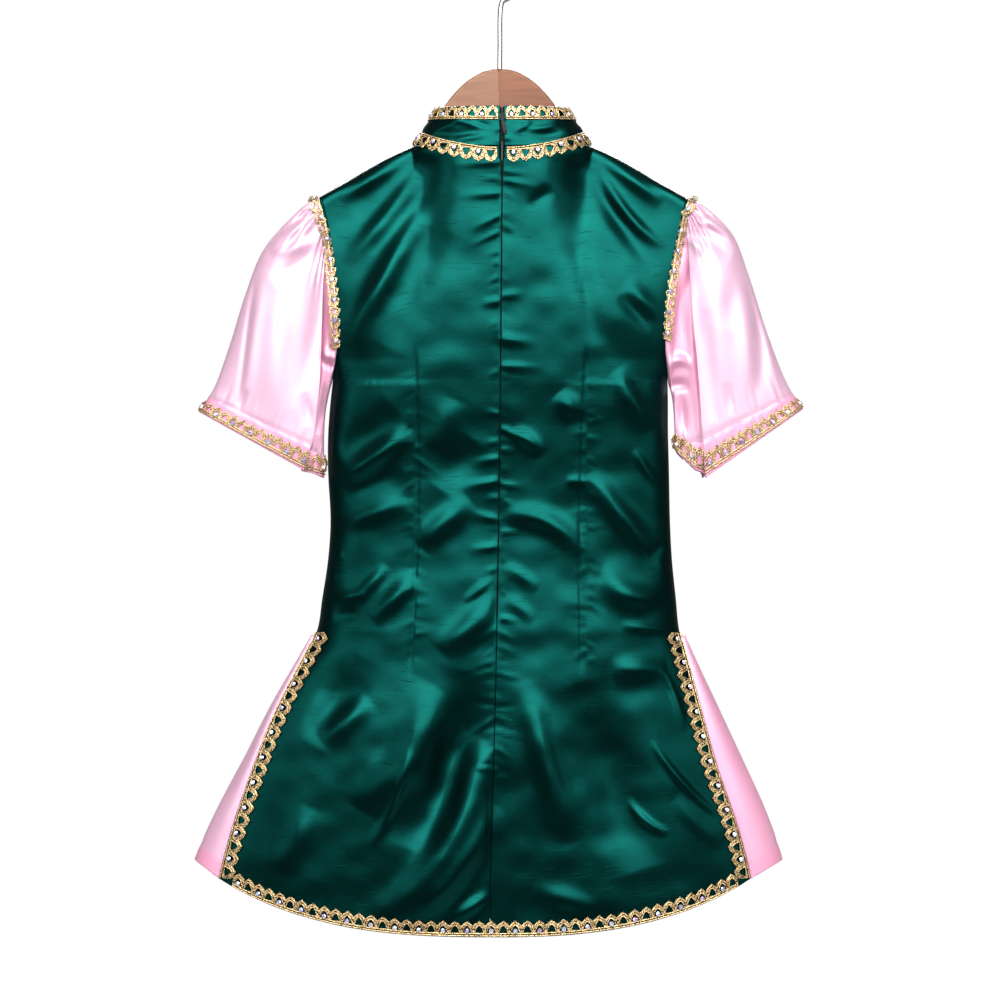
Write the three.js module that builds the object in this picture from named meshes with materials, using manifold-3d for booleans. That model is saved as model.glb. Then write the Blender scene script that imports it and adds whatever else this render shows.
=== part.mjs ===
// A child's ballet dress: a fitted satin tunic with a stand collar, slit sides
// over flared inserts, puffed sleeves and scalloped lace, on a wooden hanger.
// Millimetres. +Z is up, the back of the dress faces -Y, and the origin is the
// point inside the hook where the hanger hangs.

import * as THREE from 'three';
import { mergeVertices } from 'three/addons/utils/BufferGeometryUtils.js';
import Module from 'manifold-3d';

const wasm = await Module();
wasm.setup();

// Cloth and seams.
const CLOTH = 2;
const HEM_CLOTH = 2.8;
const SEAM = 0.3;
const SLEEVE_HEM = 23;

// Half-widths of the body at each height, measured from the plumb line of the
// hook, the sway of its centre seam, and half its depth from back to front.
const BODY = [
  { z: -200, left: 145.6, right: 152.0, centre: 1.6, depth: 34 },
  { z: -225, left: 140.0, right: 146.4, centre: 1.4, depth: 35.5 },
  { z: -261, left: 134.4, right: 138.4, centre: 1.1, depth: 37 },
  { z: -285, left: 131.4, right: 134.6, centre: 0.9, depth: 38 },
  { z: -321, left: 130.6, right: 132.6, centre: 0.6, depth: 39 },
  { z: -351, left: 135.6, right: 135.6, centre: 0.3, depth: 39 },
  { z: -389, left: 139.0, right: 136.0, centre: -0.1, depth: 37 },
  { z: -421, left: 139.2, right: 136.8, centre: -0.5, depth: 36 },
  { z: -461, left: 137.2, right: 137.6, centre: -1.0, depth: 36 },
  { z: -493, left: 139.2, right: 139.2, centre: -1.6, depth: 38 },
  { z: -525, left: 144.0, right: 142.4, centre: -2.1, depth: 41 },
  { z: -550, left: 148.0, right: 145.0, centre: -2.6, depth: 44 },
  { z: -570, left: 158.0, right: 150.5, centre: -3.0, depth: 46 },
  { z: -614, left: 180.5, right: 162.0, centre: -4.0, depth: 50 },
  { z: -660, left: 198.4, right: 174.5, centre: -5.2, depth: 53 },
  { z: -707, left: 214.4, right: 190.5, centre: -6.6, depth: 55 },
  { z: -749, left: 225.2, right: 201.0, centre: -7.6, depth: 57 },
  { z: -791, left: 230.0, right: 205.0, centre: -8.0, depth: 58 },
];

// Shoulder line: how far out from the centre seam, and its height.
const SHOULDER = [
  { out: 70.8, z: -158 },
  { out: 89, z: -166 },
  { out: 109, z: -177 },
  { out: 122, z: -185 },
  { out: 145, z: -198 },
  { out: 152, z: -202 },
];
const SHOULDER_RADIUS = 9;
const SHOULDER_FALL = 130;

// How full the body is between its sides, where its edges are closed and open.
const FULLNESS = { power: 2.4, closed: 0.5, open: 0.85 };

// Neckline and stand collar.
const NECK_HALF = 70.8;
const NECK_BACK_DIP = 4.4;
const NECK_FRONT_DIP = 42;
const NECK_SPREAD = 40;
const COLLAR_TOP_HALF = 53.2;
const COLLAR_TOP_DEPTH = 30;
const COLLAR_HEIGHT_BACK = 33;
const COLLAR_HEIGHT_SIDE = 29.5;
const COLLAR_SLANT = 36;
const COLLAR_FOOT = 0.1;
const COLLAR_ROWS = [0, 0.5, 1];

// Armholes, side slits, hem and the flared inserts in the slits.
const ARMHOLE_TOP = -199;
const ARMHOLE_FOOT = -351;
const ARMHOLE_HALF = 18;
const SLIT_TOP = -550;
const SLIT_HALF = 22;
const SLIT_OPENING = 60;
const OPEN_EDGE = 12;
const HEM_CENTRE = -791;
const HEM_RISE = 42;
const HEM_POWER = 2.65;
const FLARE = [
  { z: -550, left: 3.0, right: 3.0 },
  { z: -570, left: 3.0, right: 5.5 },
  { z: -614, left: 4.0, right: 13.0 },
  { z: -660, left: 7.5, right: 20.0 },
  { z: -707, left: 14.3, right: 23.5 },
  { z: -749, left: 20.8, right: 26.5 },
];
const INSERT_HEM_RISE = 14;
const INSERT_FROM = 0.645;
const INSERT_TURNS = [-1, -0.72, -0.4, 0, 0.4, 0.72, 1];

// Long darts, and the largest folds: a ridge or, below zero, a trough that runs
// from one point of the panel to another.
const DART = { at: NECK_HALF / 147.2, halfWidth: 0.03, top: -320, foot: -575, depth: 1.6, fade: 40 };
const FOLD_FADE = { power: 8, fall: 30 };
const BACK_FOLDS = [
  { fromX: -58, fromZ: -172, toX: -118, toZ: -296, half: 24, height: 3.4 },
  { fromX: -26, fromZ: -190, toX: -70, toZ: -300, half: 20, height: -2.4 },
  { fromX: 60, fromZ: -174, toX: 124, toZ: -290, half: 24, height: 3.4 },
  { fromX: 30, fromZ: -200, toX: 84, toZ: -300, half: 20, height: -2.4 },
  { fromX: -124, fromZ: -430, toX: -40, toZ: -396, half: 20, height: 2.6 },
  { fromX: 34, fromZ: -420, toX: 122, toZ: -452, half: 20, height: 2.6 },
  { fromX: -130, fromZ: -520, toX: -44, toZ: -480, half: 22, height: -2.2 },
  { fromX: 40, fromZ: -500, toX: 128, toZ: -528, half: 22, height: -2.2 },
  { fromX: -14, fromZ: -560, toX: -98, toZ: -760, half: 30, height: 5.5 },
  { fromX: -70, fromZ: -570, toX: -170, toZ: -740, half: 28, height: -4.0 },
  { fromX: 26, fromZ: -560, toX: 62, toZ: -770, half: 28, height: -4.5 },
  { fromX: 70, fromZ: -560, toX: 140, toZ: -740, half: 30, height: 5.0 },
];
const FRONT_FOLDS = [
  { fromX: -60, fromZ: -200, toX: -112, toZ: -310, half: 26, height: 3 },
  { fromX: 60, fromZ: -200, toX: 116, toZ: -306, half: 26, height: 3 },
  { fromX: -118, fromZ: -452, toX: -30, toZ: -420, half: 22, height: 2.4 },
  { fromX: 30, fromZ: -430, toX: 120, toZ: -470, half: 22, height: -2.2 },
  { fromX: -30, fromZ: -560, toX: -120, toZ: -750, half: 30, height: 5 },
  { fromX: 10, fromZ: -580, toX: 20, toZ: -770, half: 28, height: -4 },
  { fromX: 56, fromZ: -560, toX: 130, toZ: -745, half: 30, height: 5 },
];

// Sleeves, each by three lines from armhole to hem: the outer fold, the crease
// where the back turns in under the arm, and the underarm fold. full is the
// half-depth of the puff and deep the half-depth at the crease.
const LEFT_SLEEVE = [
  { s: 0.0, outX: 146.2, outZ: -200, foldX: 139.8, foldZ: -233, armX: 136.4, armZ: -351, deep: 16, full: 17 },
  { s: 0.1, outX: 160.0, outZ: -208, foldX: 141.2, foldZ: -250, armX: 138.2, armZ: -358, deep: 18, full: 22 },
  { s: 0.28, outX: 190.4, outZ: -241, foldX: 142.8, foldZ: -285, armX: 140.6, armZ: -370, deep: 21, full: 29 },
  { s: 0.45, outX: 205.6, outZ: -277, foldX: 143.6, foldZ: -320, armX: 142.0, armZ: -383, deep: 23, full: 31 },
  { s: 0.62, outX: 218.0, outZ: -317, foldX: 144.6, foldZ: -355, armX: 142.4, armZ: -397, deep: 24, full: 30 },
  { s: 0.81, outX: 231.0, outZ: -353, foldX: 148.4, foldZ: -390, armX: 142.2, armZ: -412, deep: 24, full: 27 },
  { s: 1.0, outX: 244.4, outZ: -373, foldX: 157.4, foldZ: -421, armX: 142.0, armZ: -427, deep: 22, full: 24 },
];
const RIGHT_SLEEVE = [
  { s: 0.0, outX: 152.6, outZ: -200, foldX: 149.0, foldZ: -214, armX: 136.4, armZ: -351, deep: 10, full: 12 },
  { s: 0.1, outX: 164.0, outZ: -205, foldX: 150.4, foldZ: -230, armX: 138.0, armZ: -356, deep: 15, full: 19 },
  { s: 0.28, outX: 188.0, outZ: -229, foldX: 151.8, foldZ: -256, armX: 139.6, armZ: -365, deep: 20, full: 28 },
  { s: 0.45, outX: 201.0, outZ: -262, foldX: 153.4, foldZ: -290, armX: 140.6, armZ: -377, deep: 23, full: 31 },
  { s: 0.62, outX: 216.0, outZ: -309, foldX: 157.6, foldZ: -330, armX: 141.0, armZ: -387, deep: 24, full: 30 },
  { s: 0.81, outX: 232.0, outZ: -350, foldX: 161.4, foldZ: -380, armX: 141.4, armZ: -397, deep: 24, full: 27 },
  { s: 1.0, outX: 245.6, outZ: -371, foldX: 164.6, foldZ: -427, armX: 142.4, armZ: -406, deep: 22, full: 24 },
];
const SLEEVE_SIZES = Object.keys(LEFT_SLEEVE[0]);
const SLEEVE_ROWS = [0, 0.06, 0.15, 0.27, 0.42, 0.58, 0.74, 0.86, 1];
const CAP_STEPS = 16;
const UNDERARM_STEPS = 5;
const UNDERARM_POWER = 1.6;
const CREASE_AT = 0.66;
const ARMHOLE_LACE_END = 0.9;
const GATHERS = 4;
const GATHER_HEIGHT = 1.7;
const GATHER_AT = 0.16;
const GATHER_REACH = 0.2;

// Lace edging, 12 mm wide: cords along its base, a row of gaps, one left open
// in every two scallops, and pointed scallops.
const LACE = { width: 12, valley: 8.2, thick: 1, lift: 0.6 };
const HEM_LACE = { pitch: 10, inset: 0.6, cornerZ: -749 };
const SLIT_LACE = { pitch: 10.2, inset: 1.5, lift: 0.5, belowTop: 2, aboveHem: 1 };
const COLLAR_LACE = { pitch: 7.8, inset: 0.4 };
const NECK_LACE = { pitch: 9.6, lift: 0.3, sideDrop: 0.5, backDrop: 12.5 };
const CUFF_LACE = { pitch: 8, inset: 1 };
const ARMHOLE_LACE = { pitch: 8.4, inset: 0.6, lift: 1 };
const LACE_GAP = { foot: 3, head: 6, footHalf: 2.9, headHalf: 2.1 };

// Zip in the centre back.
const ZIP_FOOT = -540;
const ZIP_HALF = 1.3;
const BESIDE_ZIP = 3;
const ZIP_TAPE = [
  { out: 0.15, inward: 0.6 },
  { out: 1.0, inward: 0.6 },
  { out: 1.0, inward: 3.0 },
  { out: 9.0, inward: 3.0 },
  { out: 9.0, inward: 3.8 },
  { out: 0.15, inward: 3.8 },
];
const SLIDER = { z: -138.4, width: 4.4, tall: 5.6, plate: 1, ear: 0.9, earReach: 2.4 };
const PULL = { tilt: 0.22, width: 3.2, eye: 2, length: 14, thick: 0.9, hole: 0.7, neck: 3.5, shoulder: 4.8 };
const ZIP_STOP = { width: 4, tall: 3, thick: 0.8 };

// Hanger: two wooden arms that meet at the hook's steel wire.
const WOOD_THICK = 12;
const WOOD_BEVEL = 2.5;
const WOOD_SPLIT = -1.4;
const WOOD_CROWN = { half: 44, top: -96.4, foot: -125.2, power: 2.1 };
const CROWN_STEPS = 7;
const WOOD_TOP_EDGE = [
  { out: 51, z: -145 },
  { out: 60, z: -160 },
  { out: 71, z: -166 },
  { out: 89, z: -171.6 },
  { out: 109, z: -182.6 },
  { out: 122, z: -190.8 },
  { out: 134, z: -198 },
];
const WOOD_FOOT_EDGE = [
  { out: 134, z: -211 },
  { out: 109, z: -198 },
  { out: 71, z: -181 },
  { out: 36, z: -165 },
  { out: 0, z: -154 },
];
const WIRE_RADIUS = 2;
const WIRE_HOLE = 2.3;
const WIRE_DEPTH = 18;
const HOOK_RADIUS = 22;
const SHANK_X = -0.4;
const SHANK_TOP = -46;

const LOOKS = {
  satin: { color: 0x0e6659, roughness: 0.42 },
  pinkSatin: { color: 0xf0d6e8, roughness: 0.37 },
  lace: { color: 0xb99a64, roughness: 0.5, metalness: 0.3 },
  zip: { color: 0x1b2422, roughness: 0.6 },
  steel: { color: 0xc4c6c8, roughness: 0.25, metalness: 1 },
  leftWood: { color: 0xc18f73, roughness: 0.5 },
  rightWood: { color: 0xb37a5c, roughness: 0.5 },
};

const part = new THREE.Group();

function finish(look) {
  return new THREE.MeshStandardMaterial(LOOKS[look]);
}

function lerp(a, b, f) {
  return a + (b - a) * f;
}

function smooth(f) {
  const c = Math.min(1, Math.max(0, f));
  return c * c * (3 - 2 * c);
}

// Reads a column of a table at any place between its rows, on a smooth curve.
function along(rows, key, column, at) {
  const last = rows.length - 1;
  const rising = rows[last][key] > rows[0][key];
  const past = (i) => (rising ? rows[i][key] <= at : rows[i][key] >= at);
  if (!past(0)) return rows[0][column];
  if (past(last)) return rows[last][column];
  let i = 0;
  while (past(i + 1)) i += 1;
  const slope = (j) => {
    const before = rows[Math.max(0, j - 1)];
    const after = rows[Math.min(last, j + 1)];
    return (after[column] - before[column]) / (after[key] - before[key]);
  };
  const span = rows[i + 1][key] - rows[i][key];
  const f = (at - rows[i][key]) / span;
  const start = rows[i][column] * (2 * f ** 3 - 3 * f ** 2 + 1);
  const end = rows[i + 1][column] * (3 * f ** 2 - 2 * f ** 3);
  const leave = slope(i) * span * (f ** 3 - 2 * f ** 2 + f);
  const arrive = slope(i + 1) * span * (f ** 3 - f ** 2);
  return start + end + leave + arrive;
}

function addMesh(name, geometry, look) {
  const mesh = new THREE.Mesh(geometry, finish(look));
  mesh.name = name;
  part.add(mesh);
  return mesh;
}

// Turns points and triangles into a geometry whose faces point outwards.
function closedGeometry(points, triangles) {
  let volume = 0;
  for (const [a, b, c] of triangles) {
    volume += points[a].dot(new THREE.Vector3().crossVectors(points[b], points[c]));
  }
  const order = volume > 0 ? triangles : triangles.map(([a, b, c]) => [a, c, b]);
  const geometry = new THREE.BufferGeometry();
  geometry.setAttribute('position', new THREE.Float32BufferAttribute(points.flatMap((p) => p.toArray()), 3));
  geometry.setIndex(order.flat());
  geometry.computeVertexNormals();
  return geometry;
}

// The outward unit normal of a surface given by two parameters.
function normalAt(surface, p, q, facing) {
  const dp = surface.stepP;
  const dq = surface.stepQ;
  const alongP = surface(p + dp, q).sub(surface(p - dp, q));
  const alongQ = surface(p, q + dq).sub(surface(p, q - dq));
  return alongP.cross(alongQ).normalize().multiplyScalar(facing);
}

// A cloth wall on a surface: a grid of outer points, the same grid moved in by
// the cloth's thickness, and the edges between them.
function clothWall(surface, facing, ps, qs, thickness, looped = false) {
  const points = [];
  const triangles = [];
  for (const layer of [0, 1]) {
    for (const p of ps) {
      for (const q of qs) {
        const normal = normalAt(surface, p, q, facing);
        const point = surface(p, q).addScaledVector(normal, -layer * thickness(p, q));
        points.push(surface.confine ? surface.confine(point) : point);
      }
    }
  }
  const rows = qs.length;
  const half = ps.length * rows;
  const id = (layer, i, j) => layer * half + (i % ps.length) * rows + j;
  const quad = (a, b, c, d) => triangles.push([a, b, c], [a, c, d]);
  const spans = looped ? ps.length : ps.length - 1;
  for (let i = 0; i < spans; i += 1) {
    for (let j = 0; j < rows - 1; j += 1) {
      quad(id(0, i, j), id(0, i + 1, j), id(0, i + 1, j + 1), id(0, i, j + 1));
      quad(id(1, i, j + 1), id(1, i + 1, j + 1), id(1, i + 1, j), id(1, i, j));
    }
    quad(id(1, i, 0), id(1, i + 1, 0), id(0, i + 1, 0), id(0, i, 0));
    quad(id(0, i, rows - 1), id(0, i + 1, rows - 1), id(1, i + 1, rows - 1), id(1, i, rows - 1));
  }
  if (!looped) {
    const end = ps.length - 1;
    for (let j = 0; j < rows - 1; j += 1) {
      quad(id(0, 0, j), id(0, 0, j + 1), id(1, 0, j + 1), id(1, 0, j));
      quad(id(1, end, j), id(1, end, j + 1), id(0, end, j + 1), id(0, end, j));
    }
  }
  return closedGeometry(points, triangles);
}

// Body. side is -1 on the back and 1 on the front; u runs from -1 at the left
// side to 1 at the right, as seen from behind.
function reach(u, z) {
  const column = u < 0 ? 'left' : 'right';
  const sway = along(BODY, 'z', 'centre', z);
  return along(BODY, 'z', column, z) + (u < 0 ? sway : -sway);
}

function topOf(side, u) {
  const out = Math.abs(u) * reach(u, BODY[0].z);
  if (out >= NECK_HALF) return along(SHOULDER, 'out', 'z', out);
  const near = 1 - (out / NECK_HALF) ** 2;
  const dip = side < 0 ? NECK_BACK_DIP * near : NECK_FRONT_DIP * near ** 0.8;
  return SHOULDER[0].z - dip;
}

function hemOf(u) {
  return HEM_CENTRE + HEM_RISE * Math.abs(u) ** HEM_POWER;
}

// Half the gap between back and front at their edges: open at the armhole and
// at the slit, closed between them.
function edgeGap(z) {
  const middle = (ARMHOLE_TOP + ARMHOLE_FOOT) / 2;
  const span = (ARMHOLE_TOP - ARMHOLE_FOOT) / 2;
  const arm = Math.max(0, 1 - ((z - middle) / span) ** 2);
  const slit = Math.max(0, SLIT_TOP - z);
  return ARMHOLE_HALF * Math.sqrt(arm) + SLIT_HALF * (1 - Math.exp(-slit / SLIT_OPENING));
}

function foldHeight(rows, x, z) {
  let height = 0;
  for (const row of rows) {
    const dx = row.toX - row.fromX;
    const dz = row.toZ - row.fromZ;
    const f = ((x - row.fromX) * dx + (z - row.fromZ) * dz) / (dx * dx + dz * dz);
    if (f <= 0 || f >= 1) continue;
    const away = Math.hypot(x - row.fromX - f * dx, z - row.fromZ - f * dz) / row.half;
    if (away >= 1) continue;
    height += row.height * Math.sin(Math.PI * f) * Math.cos((Math.PI / 2) * away) ** 2;
  }
  return height;
}

function bodyPoint(side, uWanted, zWanted) {
  const u = Math.min(1, Math.max(-1, uWanted));
  const out = Math.abs(u);
  const top = topOf(side, u);
  const z = Math.min(top, zWanted);
  const fall = top - z;
  const x = along(BODY, 'z', 'centre', z) + u * reach(u, z);
  const edge = edgeGap(z);
  const bow = lerp(FULLNESS.closed, FULLNESS.open, Math.min(1, edge / OPEN_EDGE));
  const full = edge + (along(BODY, 'z', 'depth', z) - edge) * (1 - out ** FULLNESS.power) ** bow;
  const inCap = Math.min(fall, SHOULDER_RADIUS);
  const cap = Math.sqrt(SHOULDER_RADIUS ** 2 - (SHOULDER_RADIUS - inCap) ** 2);
  const shoulder = cap + (full - SHOULDER_RADIUS) * smooth(fall / SHOULDER_FALL);
  const neckOut = Math.min(1, (out * reach(u, BODY[0].z)) / NECK_HALF);
  const neck = (1 - neckOut ** 2) ** (0.5 + fall / NECK_SPREAD);
  let depth = shoulder + (full - shoulder) * neck;
  const fade = (1 - out ** FOLD_FADE.power) * smooth(fall / FOLD_FADE.fall);
  depth += fade * foldHeight(side < 0 ? BACK_FOLDS : FRONT_FOLDS, x, z);
  const inDart = Math.max(0, 1 - Math.abs(out - DART.at) / DART.halfWidth);
  const dartEnds = smooth((DART.top - z) / DART.fade) * smooth((z - DART.foot) / DART.fade);
  depth -= DART.depth * inDart * dartEnds;
  return new THREE.Vector3(x, side * (depth + SEAM / 2), z);
}

const STEP_ACROSS = 0.002;
const STEP_DOWN = 0.4;

// A panel's surface by u and by v, which runs from its top edge to its hem.
function panelSurface(side, inset = () => 0) {
  const surface = (u, v) => {
    const top = topOf(side, Math.min(1, Math.max(-1, u)));
    const z = lerp(top, hemOf(u), Math.min(1, Math.max(0, v)));
    return bodyPoint(side, u, z).add(new THREE.Vector3(inset(u, z), 0, 0));
  };
  surface.stepP = STEP_ACROSS;
  surface.stepQ = STEP_DOWN / (BODY[0].z - HEM_CENTRE);
  surface.confine = (point) => point.setY(side * Math.max(SEAM / 2, side * point.y));
  return surface;
}

const NECK_ANGLES = [0, 20, 40, 58, 75, 90].map((d) => (d * Math.PI) / 180);
const OUTER_SHARES = [0.18, 0.44, 0.7, 0.89, 1];
const PANEL_ROWS = [
  0, 0.005, 0.015, 0.045, 0.09, 0.135, 0.18, 0.228, 0.276, 0.33, 0.385, 0.44,
  0.5, 0.555, 0.6, 0.638, 0.655, 0.69, 0.75, 0.81, 0.87, 0.935, 1,
];

function panelColumns(sign) {
  const neck = NECK_HALF / reach(sign, BODY[0].z);
  const inner = NECK_ANGLES.map((angle) => neck * Math.sin(angle));
  const outer = OUTER_SHARES.map((share) => lerp(neck, 1, share));
  return [...inner, ...outer].map((u) => sign * u);
}

function addBody() {
  const beside = (z) => (z > ZIP_FOOT ? ZIP_HALF : SEAM / 2);
  for (const [name, sign] of [['back_left', -1], ['back_right', 1]]) {
    const moved = (u, z) => (Math.abs(u) < STEP_ACROSS * 1.5 ? sign * beside(z) : 0);
    const surface = panelSurface(-1, moved);
    const columns = panelColumns(sign).sort((a, b) => a - b);
    addMesh(name, clothWall(surface, -1, columns, PANEL_ROWS, () => CLOTH), 'satin');
  }
  const columns = [...panelColumns(-1).slice(1), ...panelColumns(1)].sort((a, b) => a - b);
  addMesh('front', clothWall(panelSurface(1), 1, columns, PANEL_ROWS, () => CLOTH), 'satin');
}

// Stand collar, by the angle round the neck from the centre back and by the
// share of its height.
function collarSurface(angle, height) {
  const sine = Math.sin(angle);
  const side = Math.cos(angle) >= 0 ? -1 : 1;
  const u = (NECK_HALF * sine) / reach(sine, BODY[0].z);
  const foot = bodyPoint(side, u, topOf(side, u)).add(new THREE.Vector3(0, 0, SEAM));
  const rise = lerp(COLLAR_HEIGHT_SIDE, COLLAR_HEIGHT_BACK, Math.cos(angle) ** 2);
  const x = BODY[0].centre + COLLAR_TOP_HALF * sine;
  const top = new THREE.Vector3(x, -COLLAR_TOP_DEPTH * Math.cos(angle), foot.z + rise);
  return foot.lerp(top, Math.min(1, Math.max(0, height)));
}
collarSurface.stepP = 0.01;
collarSurface.stepQ = 0.02;

function addCollar() {
  const start = Math.asin(ZIP_HALF / COLLAR_TOP_HALF);
  const half = [start, ...NECK_ANGLES.slice(1)];
  const behind = half.slice(0, -1).map((angle) => Math.PI - angle).reverse();
  behind[behind.length - 1] = Math.PI;
  const right = [...half, ...behind];
  const left = right.slice(0, -1).map((angle) => 2 * Math.PI - angle).reverse();
  addMesh('collar', clothWall(collarSurface, 1, [...right, ...left], COLLAR_ROWS, () => CLOTH), 'satin');
}

// Flared inserts: from the back's slit edge out to the fold and round to the
// front's slit edge.
function addInserts() {
  const rows = PANEL_ROWS.filter((v) => v > INSERT_FROM);
  for (const [name, sign, column] of [['insert_left', -1, 'left'], ['insert_right', 1, 'right']]) {
    const surface = (turnWanted, vWanted) => {
      const turn = Math.min(1, Math.max(-1, turnWanted));
      const v = Math.min(1, vWanted);
      const z = lerp(topOf(1, sign), hemOf(sign), v);
      const edge = bodyPoint(Math.sign(turn) || 1, sign, z);
      const out = Math.cos((turn * Math.PI) / 2);
      const drop = (SLIT_TOP - z) / (SLIT_TOP - hemOf(sign));
      const x = edge.x + sign * (SEAM + along(FLARE, 'z', column, z) * out);
      const y = Math.abs(edge.y) * Math.sin((turn * Math.PI) / 2);
      return new THREE.Vector3(x, y, z + INSERT_HEM_RISE * drop * out);
    };
    surface.stepP = 0.02;
    surface.stepQ = 0.002;
    addMesh(name, clothWall(surface, -sign, INSERT_TURNS, rows, () => CLOTH), 'pinkSatin');
  }
}

// A point of a sleeve's section, for the sizes at one place from armhole to hem.
// fold runs from the outer fold to the crease, and under on to the underarm.
function sectionPoint(sizes, sign, side, fold, under) {
  const { outX, outZ, foldX, foldZ, armX, armZ, deep, full } = sizes;
  const x = under > 0 ? lerp(foldX, armX, under) : lerp(outX, foldX, fold);
  const z = under > 0 ? lerp(foldZ, armZ, under) : lerp(outZ, foldZ, fold);
  const ring = Math.sqrt(1 - (1 - fold) ** 2) * Math.sqrt(1 - under ** UNDERARM_POWER);
  const depth = deep * ring + (full - deep) * Math.sin(Math.PI * fold);
  return new THREE.Vector3(sign * x, side * depth, z);
}

// Sleeve surface. t is 0 on the outer fold, and runs to 1 under the arm round
// the front and to -1 round the back; s runs from the armhole to the hem.
function sleeveSurface(rows, sign, gathered = true) {
  const first = rows[0];
  const surface = (t, sWanted) => {
    const s = Math.min(1, Math.max(0, sWanted));
    const turned = ((((t + 1) % 2) + 2) % 2) - 1;
    const side = turned < 0 ? -1 : 1;
    const round = Math.abs(turned);
    const fold = Math.min(1, round / CREASE_AT);
    const under = Math.max(0, (round - CREASE_AT) / (1 - CREASE_AT));
    const sizes = Object.fromEntries(SLEEVE_SIZES.map((column) => [column, along(rows, 's', column, s)]));
    const point = sectionPoint(sizes, sign, side, fold, under);
    const start = sectionPoint(first, sign, side, fold, under);
    const seamTop = topOf(side, sign);
    const seamZ = under > 0 ? lerp(first.foldZ, first.armZ, under) : lerp(seamTop, first.foldZ, fold);
    const seam = armholeSeam(side, sign, seamZ);
    const held = (1 - s) ** 3;
    point.x += (seam.x - start.x) * held;
    point.y += (seam.y - start.y) * held;
    point.z += (seamTop - first.outZ) * (1 - fold) * held;
    if (gathered) {
      const fade = Math.exp(-(((s - GATHER_AT) / GATHER_REACH) ** 2)) * smooth(s / GATHER_AT);
      const inCap = under > 0 ? 0 : Math.sin(Math.PI * fold) ** 0.5;
      point.y += side * GATHER_HEIGHT * fade * inCap * Math.sin(2 * Math.PI * GATHERS * fold);
    }
    return point;
  };
  surface.stepP = 0.01;
  surface.stepQ = 0.01;
  return surface;
}

// The edge of a panel at the armhole, read between its rows as the panel is.
function armholeSeam(side, sign, z) {
  const zs = PANEL_ROWS.map((v) => lerp(topOf(side, sign), hemOf(sign), v));
  let i = 0;
  while (i < zs.length - 2 && zs[i + 1] > z) i += 1;
  const f = Math.max(0, (z - zs[i]) / (zs[i + 1] - zs[i]));
  const point = bodyPoint(side, sign, zs[i]).lerp(bodyPoint(side, sign, zs[i + 1]), f);
  point.x += sign * 2 * SEAM;
  return point;
}

function sleeveLength(surface, t) {
  let length = 0;
  for (let i = 0; i < 10; i += 1) {
    length += surface(t, i / 10).distanceTo(surface(t, (i + 1) / 10));
  }
  return length;
}

function addSleeves() {
  const half = [];
  for (let i = 0; i <= CAP_STEPS; i += 1) half.push((CREASE_AT * i) / CAP_STEPS);
  for (let i = 1; i <= UNDERARM_STEPS; i += 1) half.push(lerp(CREASE_AT, 1, i / UNDERARM_STEPS));
  const turns = [...half.slice(1, -1).map((t) => -t).reverse(), ...half];
  for (const [name, sign, table] of [['sleeve_left', -1, LEFT_SLEEVE], ['sleeve_right', 1, RIGHT_SLEEVE]]) {
    const surface = sleeveSurface(table, sign);
    const band = 1 - SLEEVE_HEM / sleeveLength(surface, -CREASE_AT / 2);
    const thickness = (t, s) => (s > band ? HEM_CLOTH : CLOTH);
    addMesh(name, clothWall(surface, -sign, turns, SLEEVE_ROWS, thickness, true), 'pinkSatin');
  }
}

// A strip of lace. place gives the point at a length along the strip, a
// distance across it and a height off the cloth.
function laceStrip(name, length, pitch, place, looped = false) {
  const cells = Math.round(length / (2 * pitch));
  const wide = length / cells;
  const scallop = wide / 2;
  const points = [];
  const triangles = [];
  const heights = [LACE.lift + LACE.thick, LACE.lift];
  const put = (a, b) => {
    for (const height of heights) points.push(place(a, b, height));
    return points.length / 2 - 1;
  };
  const ends = [];
  const count = looped ? cells : cells + 1;
  for (let i = 0; i < count; i += 1) {
    ends.push([put(i * wide, 0), put(i * wide, LACE.valley)]);
  }
  const wallBetween = (a, b) => {
    triangles.push([2 * a, 2 * b, 2 * b + 1], [2 * a, 2 * b + 1, 2 * a + 1]);
  };
  const flatCell = [
    [0, 0], [scallop, 0], [wide, 0], [wide, LACE.valley], [wide - scallop / 2, LACE.width],
    [scallop, LACE.valley], [scallop / 2, LACE.width], [0, LACE.valley],
  ].map(([a, b]) => new THREE.Vector2(a, b));
  const flatGap = [
    [scallop / 2 - LACE_GAP.footHalf, LACE_GAP.foot], [scallop / 2 + LACE_GAP.footHalf, LACE_GAP.foot],
    [scallop / 2 + LACE_GAP.headHalf, LACE_GAP.head], [scallop / 2 - LACE_GAP.headHalf, LACE_GAP.head],
  ].map(([a, b]) => new THREE.Vector2(a, b));
  const faces = THREE.ShapeUtils.triangulateShape(flatCell, [flatGap]);
  for (let i = 0; i < cells; i += 1) {
    const left = ends[i];
    const right = ends[(i + 1) % count];
    const own = (p) => put(i * wide + p.x, p.y);
    const rim = [
      left[0], own(flatCell[1]), right[0], right[1], own(flatCell[4]),
      own(flatCell[5]), own(flatCell[6]), left[1],
    ];
    const gap = flatGap.map(own);
    const ids = [...rim, ...gap];
    for (const [a, b, c] of faces) {
      triangles.push([2 * ids[a], 2 * ids[b], 2 * ids[c]]);
      triangles.push([2 * ids[a] + 1, 2 * ids[c] + 1, 2 * ids[b] + 1]);
    }
    for (const k of [0, 1, 3, 4, 5, 6]) wallBetween(rim[k + 1], rim[k]);
    for (let k = 0; k < 4; k += 1) wallBetween(gap[k], gap[(k + 1) % 4]);
    if (!looped && i === 0) wallBetween(left[0], left[1]);
    if (!looped && i === cells - 1) wallBetween(right[1], right[0]);
  }
  addMesh(name, closedGeometry(points, triangles), 'lace');
}

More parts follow.
